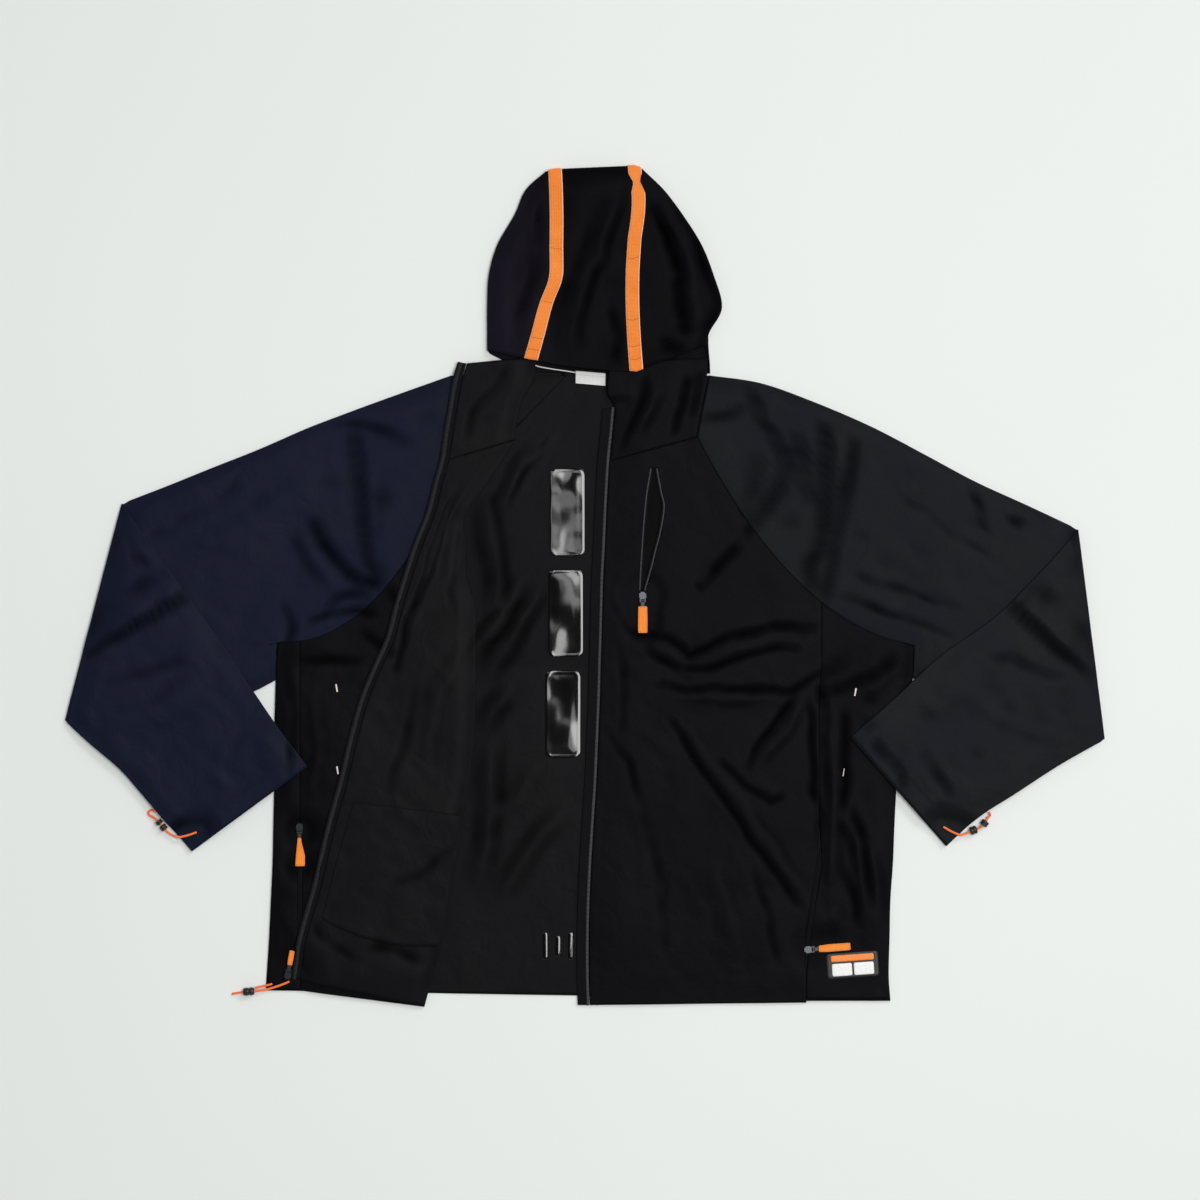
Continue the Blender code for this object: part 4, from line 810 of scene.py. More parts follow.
def cloth(name, points, finish, closed=False, wall=WALL, outside=None, inside=None):
    """A wall of cloth on a grid of points.

    Where outside says so, its columns show the shell's outer face. A tube may have another finish inside."""
    GRIDS[name] = points
    wide = np.concatenate([points, points[:, :1]], axis=1) if closed else points
    AREAS[name] = cut_area(wide)
    good = ~np.isnan(points[..., 0])
    numbers = np.full(points.shape[:2], -1)
    numbers[good] = np.arange(good.sum())
    numbers = np.concatenate([numbers, numbers[:, :1]], axis=1) if closed else numbers
    squares = lambda grid: np.stack([grid[:-1, :-1], grid[:-1, 1:], grid[1:, 1:], grid[1:, :-1]], axis=2)
    corners = squares(numbers).reshape(-1, 4)
    kept = (corners >= 0).all(axis=1)
    along = np.repeat(run_along(wide, 0).max(axis=1)[:, None], wide.shape[1], axis=1)
    uv = squares(np.dstack([run_along(wide, 1), along]) * MM).reshape(-1, 4, 2)[kept]
    made = piece(name, (points[good] * MM).tolist(), corners[kept].tolist(), finish, uv)
    if outside is not None:
        made.data.materials.append(SHELL)
        slots = np.repeat(outside[None, 1:].astype(int), points.shape[0] - 1, axis=0).ravel()[kept]
        made.data.polygons.foreach_set("material_index", slots)
    # painted shade: this attribute darkens the shell's colour in creases
    made.data.attributes.new("hollow", "FLOAT", "POINT").data.foreach_set("value", hollows(points)[good])
    shell = made.modifiers.new("wall", "SOLIDIFY")
    shell.thickness = wall * MM
    shell.offset = 0
    if inside:
        made.data.materials.append(inside)
        shell.material_offset = 1
    return made


def sewn_on(made, *nodes, body="jacket"):
    """Hides the solids of the model that this piece stands for, and hangs the piece on the body that carries
    it.
    """
    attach(made, body)
    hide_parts(*nodes)
    return made


print("walls:", WALL, "mm; a hollow is full", round(HOLLOW_FROM + HOLLOW_DEPTH, 2), "mm down")

# %% [markdown]
# ## The back and the body's side strips
#
# One cut piece goes from one forward side seam round the back to the other. It lies on the table and
# its sides are turned up over it, so that its rows have three strips. Above the underarms only the back
# goes on, between the two raglan seams.

# %% The body's measured rows
BODY_ROWS = (
    # y_right y_left side_right seam_right seam_left side_left, from hem to underarm
    (-473, -485, -373, -333, 259, 357),
    (-455, -455, -372, -333, 259, 355),
    (-411, -411, -369, -333, 261, 356),
    (-367, -367, -367, -333, 267, 357),
    (-323, -323, -365, -333, 274, 360),
    (-274, -274, -364, -333, 274, 362),
    (-227, -227, -363, -333, 274, 365),
    (-180, -180, -363, -333, 274, 372),
    (-133, -133, -362, -333, 274, 380),
    (-96, -96, -361, -333, 276.4, 384),
    (-64.6, -69, -360, -333.2, 276.5, 385),
)
# the raglan seams, from neck to underarm
RAGLAN_FRONT = {
    "left": ((131, 174), (244, -46), (385, -69)),
    "right": ((-131, 174), (-242, -81), (-360, -64)),
}
RAGLAN_BACK = {
    "left": ((43, 246.5), (181, 89), (385, -69)),
    "right": ((-22, 246.5), (-170, 89), (-360, -64)),
}
HAND_ZIP_ROWS = ((-455, 0.15), (-411, 2.8), (-367, 2.8), (-323, 2.8), (-274, 0.15))
SEAM = 0.15


def side_gap(y):
    """How far a side seam stands open at this height: the hand pocket's zip lies there."""
    heights, gaps = zip(*HAND_ZIP_ROWS)
    return np.interp(y, heights, gaps, left=SEAM, right=SEAM)


# %% The back
BACK_CELL = 5.2
# columns at each side that are the shell's outer face, turned up over the back
RIGHT_STRIP, LEFT_STRIP = 14, 34


def make_back():
    left_side = lambda r: smooth(BODY_ROWS, r)[:, [5, 1]]
    rows = row_numbers(left_side, 10, BACK_CELL, exact=(9,), fine_start=False)
    y_right, y_left, side_right, seam_right, seam_left, side_left = smooth(BODY_ROWS, rows).T
    seam_edge = {
        "right": np.stack([seam_right - side_gap(y_right), y_right], axis=1),
        "left": np.stack([seam_left + side_gap(y_left), y_left], axis=1),
    }
    side_edge = {
        "right": np.stack([side_right, y_right], axis=1), "left": np.stack([side_left, y_left], axis=1)}
    strips = {}
    top = rows > 9
    for side, start, end, cells, first_share, last_share in (
        ("right", seam_edge, side_edge, 8, 0.887, 1.0), ("left", side_edge, seam_edge, 26, 1.0, 0.6)):
        kept = {"fine_start": side == "right", "fine_end": side == "left"}
        strip = straight(start[side], end[side], cells, **kept)
        share = shares(norm(end[side] - start[side], axis=1), cells, **kept)[-1]
        on_seam = bend(RAGLAN_FRONT[side], first_share + (last_share - first_share) * share) - (0, SEAM)
        below = strip[np.flatnonzero(rows == 9)[0]]
        blend = (rows[top] - 9)[:, None, None]
        strip[top] = below * (1 - blend) + on_seam * blend
        strips[side] = strip
    across = straight(side_edge["right"], side_edge["left"], 142)
    body, near = layered([strips["right"], across, strips["left"]], (FRONT, LOWEST, FRONT))
    turn = TURN_STEPS - 1
    before, after = strips["right"].shape[1] + turn, strips["left"].shape[1] + turn
    strip_columns = np.ones(body.shape[1], bool)
    strip_columns[before:-after] = False
    to_raglan = np.where(strip_columns[None, :], reach_of(body, "last"), FAR)
    body = drawn_down(lifted(body, near), "start", "end", also=to_raglan)
    top_shares = 1 - row_numbers(
        lambda s: bend(RAGLAN_BACK["left"], s), 1, BACK_CELL, fine_start=False, inset=(4, SEAM))
    starts, ends = (bend(RAGLAN_BACK[side], top_shares) for side in ("right", "left"))
    flat = straight(starts, ends, 142, inset=(SEAM, SEAM))
    upper = drawn_down(lifted(np.dstack([flat, np.full(flat.shape[:2], LOWEST)])), "start", "end", "last")
    blank = lambda count: np.full((len(upper), count, 3), np.nan)
    return np.concatenate([body, np.concatenate([blank(before), upper, blank(after)], axis=1)])


grid = make_back()
column = np.arange(grid.shape[1])
side_strips = (column < RIGHT_STRIP) | (column > len(column) - LEFT_STRIP)
sewn_on(cloth("back_cloth", grid, LINING, outside=side_strips), "back")
print("back:", GRIDS["back_cloth"].shape, round(AREAS["back_cloth"], 3), "m2")

# %% Seam allowances: narrow doubled edges behind the seams of the lowest layer, which no other cloth backs
ALLOWANCE_WIDTH, ALLOWANCE_LEVEL, ALLOWANCE_WALL = 9.0, 0.12, 0.12
NECK_SEAM = ((-74, 250.5), (-10, 246.2), (66, 247.4))


def make_allowance(line):
    across = np.gradient(line, axis=0)[:, ::-1] * (-1, 1)
    across *= ALLOWANCE_WIDTH / 2 / norm(across, axis=1)[:, None]
    flat = straight(line - across, line + across, 4, **PLAIN)
    return lifted(np.dstack([flat, np.full(flat.shape[:2], ALLOWANCE_LEVEL)]))


SEAM_LINES = {side: bend(RAGLAN_BACK[side], np.linspace(0, 1, 60)) for side in ("left", "right")}
SEAM_LINES["neck"] = bend(NECK_SEAM, np.linspace(0, 1, 24))
for name, line in SEAM_LINES.items():
    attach(cloth(f"seam_allowance_{name}", make_allowance(line), LINING, wall=ALLOWANCE_WALL), "jacket")
print("seam allowances:", ", ".join(SEAM_LINES))

# %% [markdown]
# ## The two fronts
#
# The left front lies as it is worn. The right front starts at its side seam, runs under, turns at a soft
# fold and comes back over itself, with its inside up. Both share their side and raglan seams with the
# pieces next to them, because they read the same tables.

# %% Edges of the fronts
LEFT_ZIP = (
    # x y, from hem to neck
    (6, -490), (5, -455), (5, -411), (6, -367), (8, -323), (11, -274), (14, -227), (16, -180),
    (18, -133), (19, -96), (20, -63), (21, -26), (22, 11), (24, 48), (26, 95), (29, 146),
)
LEFT_HEM_Y = -487
RIGHT_TURNED = (
    # fold_x fold_y zip_x zip_y, from hem to neck
    (-188, -492, -333, -460),
    (-177, -452, -327, -420),
    (-166, -411, -318, -385),
    (-159, -367, -308, -350),
    (-151, -323, -300, -315),
    (-143, -274, -290, -274),
    (-135, -227, -277, -227),
    (-130, -180, -266, -180),
    (-128, -133, -253, -133),
    (-128, -96, -238, -96),
    (-128, -63, -223, -63),
    (-128, -26, -213, -26),
    (-139, 11, -202, 11),
    (-140, 48, -190, 48),
    (-140, 83, -176, 83),
    (-112, 124, -166, 122),
    (-82, 170, -159, 147),
)


def front_seam(side, rows):
    """The side seam, then the raglan seam from there to the neck, by row number."""
    rows = np.asarray(rows, float)
    column, y_column, corner, stops = (4, 1, 11, (0.6, 0.45, 0.3, 0.15, 0))
    if side == "right":
        column, y_column, corner, stops = (3, 0, 10, (0.887, 0.75, 0.6, 0.45, 0.3, 0.15, 0))
    seam = [(row[column], row[y_column]) for row in BODY_ROWS]
    if side == "left":
        seam[0] = (seam[0][0], LEFT_HEM_Y)
        seam.append(tuple(bend(RAGLAN_FRONT["left"], 0.6)[0]))
    raglan = bend(RAGLAN_FRONT[side], np.interp(rows, corner + np.arange(len(stops)), stops))
    edge = np.where((rows <= corner)[:, None], smooth(seam, np.clip(rows, 0, corner)), raglan)
    gap = np.where(rows <= corner, side_gap(edge[:, 1]), SEAM)
    edge[:, 0] += gap if side == "right" else -gap
    return edge


# %% The left front, with its open chest pocket cut out
CHEST_GAP = (
    # y left_x right_x, from top to bottom
    (137, 76, 85), (110, 71.5, 90), (92, 69.5, 93.5), (63, 67, 89), (40, 65.5, 83), (25, 64.5, 79.5),
    (-5, 63, 71),
)


def make_front_left():
    rows = row_numbers(lambda r: smooth(LEFT_ZIP, r), 15, 3.0, exact=(11,), fine_start=False, inset=(0, SEAM))
    flat = straight(smooth(LEFT_ZIP, rows), front_seam("left", rows), 96, inset=(0.1, 0))
    points = lifted(np.dstack([flat, np.full(flat.shape[:2], FRONT)]))
    return drawn_down(points, "start", "end", "last")


def chest_outline(step=24):
    """The gap's outline: a smooth curve down its left edge and up its right one."""
    numbers = np.linspace(0, len(CHEST_GAP) - 1, step)
    y, left, right = smooth(CHEST_GAP, numbers).T
    return list(zip(left, y)) + list(zip(right[::-1], y[::-1]))


def cut_gap(made):
    outline = [Vector((x * MM, y * MM, -0.01)) for x, y in chest_outline()]
    mesh = bpy.data.meshes.new("gap")
    bm = bmesh.new()
    face = bm.faces.new([bm.verts.new(corner) for corner in outline])
    moved = bmesh.ops.extrude_face_region(bm, geom=[face])["geom"]
    bmesh.ops.translate(bm, verts=[v for v in moved if isinstance(v, bmesh.types.BMVert)], vec=(0, 0, 0.04))
    bmesh.ops.recalc_face_normals(bm, faces=bm.faces)
    bm.to_mesh(mesh)
    bm.free()
    cutter = placed("gap", mesh)
    cut = made.modifiers.new("gap", "BOOLEAN")
    cut.object, cut.operation = cutter, "DIFFERENCE"
    applied(made)
    bpy.data.objects.remove(cutter, do_unlink=True)
    return made


sewn_on(cut_gap(cloth("front_left_cloth", make_front_left(), SHELL)), "front_left")
print("left front:", GRIDS["front_left_cloth"].shape, round(AREAS["front_left_cloth"], 3), "m2")


# %% The right front, folded open
def make_front_right():
    rows = row_numbers(
        lambda r: smooth(RIGHT_TURNED, r)[:, :2], 16, 3.8, exact=(10,), fine_start=False, inset=(0, SEAM))
    edges = smooth(RIGHT_TURNED, rows)
    seam = front_seam("right", rows)
    under = straight(seam, edges[:, :2], 46, fine_end=False)
    over = straight(edges[:, :2], edges[:, 2:], 38, fine_start=False)
    points, near = layered([under, over], (FRONT, TURNED))
    return drawn_down(lifted(points, near, low=1), "start", "end", "last")


# columns from the side seam to just past the fold: the shell's outer face
UNDER_COLUMNS = 50
grid = make_front_right()
under = np.arange(grid.shape[1]) < UNDER_COLUMNS
sewn_on(cloth("front_right_cloth", grid, LINING, outside=under), "front_right")
print("right front:", GRIDS["front_right_cloth"].shape, round(AREAS["front_right_cloth"], 3), "m2")

# %% [markdown]
# ## Raglan sleeves
#
# Each sleeve is one tube. Round its top runs the raglan seam, a long curve on the front and another on
# the back. Both layers start on those curves, and within two stations down the arm the curve has faded
# to a straight row. At the elbow the whole tube rolls over, so the underside comes up.

# %% Sleeve tables
UPPER_ARM = {
    # top_x top_y under_x under_y, from neck to elbow
    "left": (
        (145, 246, 383.5, -108), (205, 237, 412, -115), (265, 216, 442, -123), (335, 186, 475, -134),
        (400, 152, 510, -147), (456, 122, 543, -158), (515, 95, 576, -169), (577, 66, 608, -179),
    ),
    "right": (
        (-156, 246, -361.9, -110), (-215, 225, -390, -124), (-270, 205, -425, -132), (-325, 184, -460, -138),
        (-380, 160, -498, -143), (-438, 137, -535, -148), (-490, 116, -572, -153), (-542, 96, -608, -157),
    ),
}
FOREARM = {
    # inner_x inner_y outer_x outer_y, from elbow to cuff
    "left": (
        (577, 66, 608, -179), (528, 12, 575, -197), (478, -37, 546, -214), (415, -82, 500, -244),
        (362, -131, 460, -270), (310, -177, 422, -304),
    ),
    "right": (
        (-542, 96, -608, -157), (-480, 11, -578, -184), (-429, -60, -544, -213), (-386, -125, -520, -240),
        (-355, -170, -490, -275), (-324, -211, -459, -310),
    ),
}
RAGLAN_STOPS = {
    "left": (0, 0.15, 0.3, 0.45, 0.6, 0.75, 0.88, 1), "right": (0, 0.15, 0.3, 0.45, 0.6, 0.75, 0.887, 1),
    "back": (0, 0.12, 0.25, 0.4, 0.55, 0.7, 0.85, 1),
}
SPREAD_FRONT = (0, 0.19, 0.30, 0.40, 0.50, 0.59, 0.67, 0.75, 0.82, 1)
SPREAD_BACK = (0, 0.14, 0.24, 0.34, 0.45, 0.55, 0.65, 0.74, 0.82, 1)
ELBOW_HEIGHT = (FRONT + TURNED) / 2
SLEEVE_CELL, ROLL_ROWS, ROLL_GAP, UNDERARM_GAP = 4.3, 11, 1.5, 0.6


# %% The top edge of a sleeve, and the rows that start from it
def sleeve_top(side, layer, number):
    """Shoulder fold, raglan seam, underarm: a line read by number from 0 to 9."""
    outward = 1 if side == "left" else -1
    curve = (RAGLAN_FRONT if layer == "front" else RAGLAN_BACK)[side]
    stops = RAGLAN_STOPS[side if layer == "front" else "back"]
    shoulder, underarm = np.array(UPPER_ARM[side][0][:2], float), np.array(UPPER_ARM[side][0][2:], float)
    seam = bend(curve, np.interp(number, np.arange(1, 9), stops))
    seam = seam + np.clip(number - 7, 0, 1)[:, None] * (UNDERARM_GAP * outward, 0)
    first, last = bend(curve, 0)[0], bend(curve, 1)[0] + (UNDERARM_GAP * outward, 0)
    near_top, near_end = np.clip(number, 0, 1)[:, None], np.clip(number - 8, 0, 1)[:, None]
    line = np.where(number[:, None] < 1, shoulder + (first - shoulder) * near_top, seam)
    return np.where(number[:, None] > 8, last + (underarm - last) * near_end, line)


def sleeve_rows(side, tops, unders, keeps, cells=100):
    """Both layers of each row: the lower one from underarm to shoulder, then the upper one back."""
    numbers = {
        "front": np.interp(np.linspace(0, 1, cells + 1), SPREAD_FRONT, np.arange(10)),
        "back": np.interp(np.linspace(0, 1, cells + 1), SPREAD_BACK, np.arange(10)),
    }
    strips = []
    for layer, spread in (("back", SPREAD_BACK), ("front", SPREAD_FRONT)):
        number = numbers[layer]
        share = np.interp(number, np.arange(10), spread)[None, :, None]
        top = sleeve_top(side, layer, number)
        chord = top[0] + (top[-1] - top[0]) * share[0]
        flat = tops[:, None] + (unders - tops)[:, None] * share + (top - chord)[None] * keeps[:, None, None]
        strips.append(flat)
    return layered([strips[0][:, ::-1], strips[1]], (LOWEST, FRONT), closed=True)


# %% Upper arm, roll at the elbow, forearm
def middle_line(table, rows):
    """The line halfway between the two edges of a sleeve."""
    edges = smooth(table, rows)
    return edges[:, :2] / 2 + edges[:, 2:] / 2


def make_sleeve(side):
    outward = 1 if side == "left" else -1
    upper, forearm = UPPER_ARM[side], FOREARM[side]
    stations = row_numbers(
        lambda r: middle_line(upper, r), 7, SLEEVE_CELL, fine_end=False, inset=(SEAM, 0))
    fold_top, fold_under = np.array(upper[-1][:2], float), np.array(upper[-1][2:], float)
    fold = (fold_under - fold_top) / norm(fold_under - fold_top)
    away = np.array((-fold[1], fold[0]))
    away = away if away[0] * outward > 0 else -away

    def short_of_fold(edges):
        reach = ELBOW_HEIGHT + ROLL_GAP
        return ((fold_top - edges[:, :2]) @ away > reach) & ((fold_under - edges[:, 2:]) @ away > reach)

    edges = smooth(upper, stations)
    inside = short_of_fold(edges)
    keeps = np.clip(1 - stations / 2, 0, 1)[inside]
    arm, arm_near = sleeve_rows(side, edges[inside, :2], edges[inside, 2:], keeps)
    arm = lifted(arm, arm_near)
    ring, ring_near = sleeve_rows(
        side, (fold_top - away * ELBOW_HEIGHT)[None], (fold_under - away * ELBOW_HEIGHT)[None], np.zeros(1))
    roll = []
    for angle in np.linspace(0, pi, ROLL_ROWS):
        radius = ELBOW_HEIGHT - ring[0, :, 2]
        out = ring[0, :, :2] + away * (radius * sin(angle))[:, None]
        roll.append(np.column_stack([out, ELBOW_HEIGHT - radius * cos(angle)]))
    roll = lifted(np.array(roll), np.repeat(ring_near, ROLL_ROWS, axis=0))
    numbers = row_numbers(
        lambda r: middle_line(forearm, r), 5, SLEEVE_CELL, **PLAIN)
    edges = smooth(forearm, numbers)
    inside = short_of_fold(edges)
    low, low_near = sleeve_rows(side, edges[inside, :2], edges[inside, 2:], np.zeros(inside.sum()))
    low[..., 2] = 2 * ELBOW_HEIGHT - low[..., 2]
    low = lifted(low, low_near, low=2)
    return drawn_down(np.concatenate([arm, roll, low]), "first")


for side in ("left", "right"):
    name = f"sleeve_{side}_cloth"
    grid = make_sleeve(side)
    grid = grid[:, ::-1] if side == "right" else grid  # so that both sleeves' faces point outwards
    sewn_on(cloth(name, grid, SLEEVE_SHELL, closed=True, inside=LINING), f"sleeve_{side}")
    print(name, GRIDS[name].shape, round(AREAS[name], 3), "m2")

# %% [markdown]
# ## Hood
#
# Three panels make the hood: a middle one and two sides. It lies flat, so each panel has an upper and a
# lower layer, turned at the crown or at the side. Webbing covers both panel seams.

# %% Hood tables
HOOD_UPPER = (
    # outer_right_x y  seam_right_x y  seam_left_x y  outer_left_x y, from crown to brim
    (-46, 485, -35, 487, 58, 491, 67, 488),
    (-69, 463, -34, 463, 60, 465, 92, 463),
    (-82, 434, -33.5, 434, 61, 434, 114, 434),
    (-102, 399, -33, 399, 58, 399, 136, 399),
    (-112, 364, -33.5, 364, 55.5, 364, 150, 364),
    (-114, 329, -46, 329, 55, 329, 160, 326),
    (-114, 300, -55, 294, 57, 288, 146, 298),
    (-114, 275, -63, 264, 60, 250, 140, 281),
)
HOOD_LOWER_ROWS = HOOD_UPPER[:-1] + ((-112, 272, -68, 250, 61, 247.2, 148, 248.5),)
LAST_ROW = len(HOOD_UPPER) - 1
HOOD_CELL, CROWN_CLEARANCE, BRIM_DIP = 3.8, 1.0, -3.0


def hood_order(points):
    """The lower layer lies still on its tapes, and the upper one takes every fold."""
    return 3 * (points[..., 2] - HOOD_LOWER) / (TOP - HOOD_LOWER)


# %% Hood panels
def make_hood_middle():
    numbers = row_numbers(
        lambda r: smooth(HOOD_UPPER, r)[:, 2:4], LAST_ROW, HOOD_CELL, fine_start=False, fine_end=True)
    across = shares(95, 26, inset=(SEAM, SEAM))[0][:, None, None]
    up, low = smooth(HOOD_UPPER, numbers), smooth(HOOD_LOWER_ROWS, numbers)
    upper = up[None, :, 2:4] + (up[:, 4:6] - up[:, 2:4])[None] * across
    brim = np.clip(numbers - 6, 0, 1)[None, :] * BRIM_DIP * 4 * across[..., 0] * (1 - across[..., 0])
    upper[..., 1] += brim
    lower = low[None, :, 2:4] + (low[:, 4:6] - low[:, 2:4])[None] * across
    points, near = layered([upper[:, ::-1], lower], (TOP, HOOD_LOWER))
    return drawn_down(lifted(points, near, order=hood_order(points)), "first", "last")


def make_hood_side(side):
    outer, seam = (0, 2) if side == "right" else (6, 4)
    outline = lambda r: smooth(HOOD_UPPER, r)[:, outer:outer + 2]
    numbers = row_numbers(outline, LAST_ROW, HOOD_CELL, **PLAIN)
    up, low = smooth(HOOD_UPPER, numbers), smooth(HOOD_LOWER_ROWS, numbers)
    short = CROWN_CLEARANCE * np.clip(1 - numbers, 0, 1)
    for table in (up, low):
        table[:, 1::2] -= short[:, None]
    upper = straight(up[:, seam:seam + 2], up[:, outer:outer + 2], 20, fine_end=False, inset=(SEAM, 0))
    lower = straight(low[:, outer:outer + 2], low[:, seam:seam + 2], 20, fine_start=False, inset=(0, SEAM))
    points, near = layered([upper, lower], (TOP, HOOD_LOWER))
    near = np.minimum(near, reach_of(points, "first"))
    return drawn_down(lifted(points, near, order=hood_order(points)), "start", "end")


sewn_on(cloth("hood_middle_cloth", make_hood_middle(), HOOD_SHELL), "hood_middle")
for side in ("left", "right"):
    sewn_on(cloth(f"hood_{side}_cloth", make_hood_side(side), HOOD_SHELL), f"hood_side_{side}")
print({name: round(area, 3) for name, area in AREAS.items() if "hood" in name})

# %% [markdown]
# ## Webbing over the hood's seams
#
# A stripe of webbing runs along each panel seam, from the brim over the crown and back beneath. It is
# sewn down loosely, so it wanders a little, and a fold of the crown tucks part of the left one in.

# %% Webbing over the hood's seams
TAPE_WALL, TAPE_WIDTH, TAPE_CELL = 0.7, 16.0, 3.2
# where each webbing wanders off its seam: share of the way from crown to brim, millimetres to the right
TAPE_WANDER = {
    "right": ((0, 0), (0.3, 0.4), (0.52, -0.8), (0.62, 0.9), (1, 0)),
    "left": ((0, 0), (0.08, -0.5), (0.13, 1.5), (0.2, 2.0), (0.4, -0.6), (0.7, 0.5), (1, 0)),
}
# where a fold of the crown tucks the left webbing in: share of the way from crown to brim, share of its width
TAPE_TUCK = ((0.05, 1), (0.11, 0.5), (0.17, 1))


def make_hood_tape(side):
    first = 2 if side == "right" else 4
    upper_level, lower_level = TOP + 0.3 + 0.1 + TAPE_WALL / 2, HOOD_LOWER - 0.3 - 0.1 - TAPE_WALL / 2
    overhang = (upper_level - lower_level) / 2 - (TOP - HOOD_LOWER) / 2
    seam = lambda r: smooth(HOOD_UPPER, r)[:, first:first + 2]
    numbers = row_numbers(seam, LAST_ROW, TAPE_CELL, **PLAIN)
    stops, wander = zip(*TAPE_WANDER[side])
    strips = []
    for table, reverse in ((smooth(HOOD_UPPER, numbers), True), (smooth(HOOD_LOWER_ROWS, numbers), False)):
        lines = []
        for offset in np.linspace(-TAPE_WIDTH / 2, TAPE_WIDTH / 2, 9):
            kept = np.interp(numbers / LAST_ROW, *zip(*TAPE_TUCK)) if side == "left" and reverse else 1
            x = table[:, first] + offset * kept
            y = np.array([np.interp(px, row[0::2], row[1::2]) for px, row in zip(x, table)])
            y += overhang * np.clip(1 - numbers, 0, 1)
            lines.append(np.stack([x + np.interp(numbers / LAST_ROW, stops, wander), y], axis=1))
        strips.append(np.array(lines)[:, ::-1] if reverse else np.array(lines))
    points, near = layered(strips, (upper_level, lower_level))
    order = 3 * (points[..., 2] - lower_level) / (upper_level - lower_level)
    return lifted(points, near, order=order).transpose(1, 0, 2)


for side in ("left", "right"):
    strip = make_hood_tape(side)
    sewn_on(cloth(f"hood_webbing_{side}", strip, STRIPE, wall=TAPE_WALL), f"hood_tape_{side}")
    print(side, "webbing:", round(reach_of(strip, "first").max()), "mm long")

# %% [markdown]
# ## Neck
#
# Where the fronts end, the hood's front corners go on to the brim. The left one lies as it is worn. The
# right one is turned inside out with its front. White binding covers the neck seam, and a label hangs
# from it.

# %% The hood's front corners
NECK_LEFT = (
    # zip_x zip_y shoulder_x shoulder_y level
    (30, 147, 130.3, 174.5, FRONT),
    (33, 185, 135.3, 200, FRONT),
    (35, 208, 138.2, 216, FRONT + 0.5),
    (26, 228, 141.8, 236, TURNED),
    (30, 264, 143.5, 266, TURNED),
)
NECK_RIGHT = (
    # zip_x zip_y fold_x fold_y under_fold_x under_fold_y shoulder_x shoulder_y
    (-159, 148, -82, 171, -82, 171, -131, 174),
    (-155, 175, -80, 190, -80, 190, -138, 194),
    (-150, 205, -74, 216, -74, 216, -146, 217),
    (-145, 235, -62, 240, -62, 236, -152, 234),
    (-138, 260, -57, 268, -58, 244, -155.5, 244),
)
NECK_CELL = 3.2


def make_neck_left():
    rows = row_numbers(lambda r: smooth(NECK_LEFT, r)[:, 2:4], 4, NECK_CELL, fine_end=False, inset=(SEAM, 0))
    table = smooth(NECK_LEFT, rows)
    flat = straight(table[:, :2], table[:, 2:4], 30, inset=(0.1, SEAM))
    points = np.dstack([flat, np.repeat(table[:, 4:5], flat.shape[1], axis=1)])
    return drawn_down(lifted(points), "first", "start", "end")


def make_neck_right():
    rows = row_numbers(lambda r: smooth(NECK_RIGHT, r)[:, :2], 4, NECK_CELL, fine_end=False, inset=(SEAM, 0))
    table = smooth(NECK_RIGHT, rows)
    under = straight(table[:, 6:8], table[:, 4:6], 16, fine_end=False, inset=(SEAM, 0))
    over = straight(table[:, 2:4], table[:, :2], 24, fine_start=False, inset=(0, 0.1))
    points, near = layered([under, over], (FRONT, TURNED))
    return drawn_down(lifted(points, near, low=1), "first", "end")


sewn_on(cloth("hood_corner_left_cloth", make_neck_left(), SHELL), "hood_corner_left")
sewn_on(cloth("hood_corner_right_cloth", make_neck_right(), LINING), "hood_corner_right")

# %% Neck binding and blank label
NECK_TAPE = ((-66, 262.5), (-56, 257.8), (-38, 254.3), (-22, 252), (-11, 250.2))
NECK_TAPE_WIDTH, NECK_TAPE_LEVEL = 1.3, 2.75
# y and height of the label from its folded top to its lower edge
NECK_LABEL = ((251.5, 2.6), (250.6, 3.5), (248.8, 3.6), (247.6, 2.8), (246.6, 2.3), (242, 2.4), (237, 1.9))
LABEL_FROM, LABEL_TO, LABEL_SLANT = -11, 24, 3


def make_neck_binding():
    line = smooth(NECK_TAPE, np.linspace(0, len(NECK_TAPE) - 1, 30))
    flat = straight(line, line - (0, NECK_TAPE_WIDTH), 3, **PLAIN)
    wave = 0.12 * np.sin(np.linspace(0, 12, 30))[:, None] + np.zeros(flat.shape[:2])
    return np.dstack([flat, NECK_TAPE_LEVEL + wave])


def make_neck_label():
    y, z = smooth(NECK_LABEL, np.linspace(0, 6, 37)).T
    x = np.linspace(LABEL_FROM, LABEL_TO, 26)
    across = (x - LABEL_FROM) / (LABEL_TO - LABEL_FROM)
    rows = []
    for k, (height, level) in enumerate(zip(y, z)):
        wave = 0.25 * np.sin(5 * across + k / 6)
        rows.append(np.column_stack([x, height - LABEL_SLANT * across, level + wave]))
    return np.array(rows)


sewn_on(cloth("neck_binding", make_neck_binding(), BINDING, wall=0.6), "neck_tape")
sewn_on(cloth("neck_label_cloth", make_neck_label(), BINDING, wall=0.5), "neck_label")
print("cloth area so far:", round(sum(AREAS.values()), 3), "m2")

# %% [markdown]
# ## Zip tapes
#
# The front zip is open, so each half lies along its own front. The hand pockets' zips are closed and lie in
# the side seams. All are narrow strips, which take the height of the layer they are sewn to.

# %% Tapes of the front zip
FRONT_ZIPS = {
    # points of the front's edge, then across the part of the tape that shows, then its layer
    "left": (list(LEFT_ZIP) + [row[:2] for row in NECK_LEFT[1:3]], (-14.0, 0), FRONT),
    "right": ([row[2:] for row in RIGHT_TURNED] + [row[:2] for row in NECK_RIGHT[1:]], (-10.5, 1.3), TURNED),
}
ZIP_CELL = 4


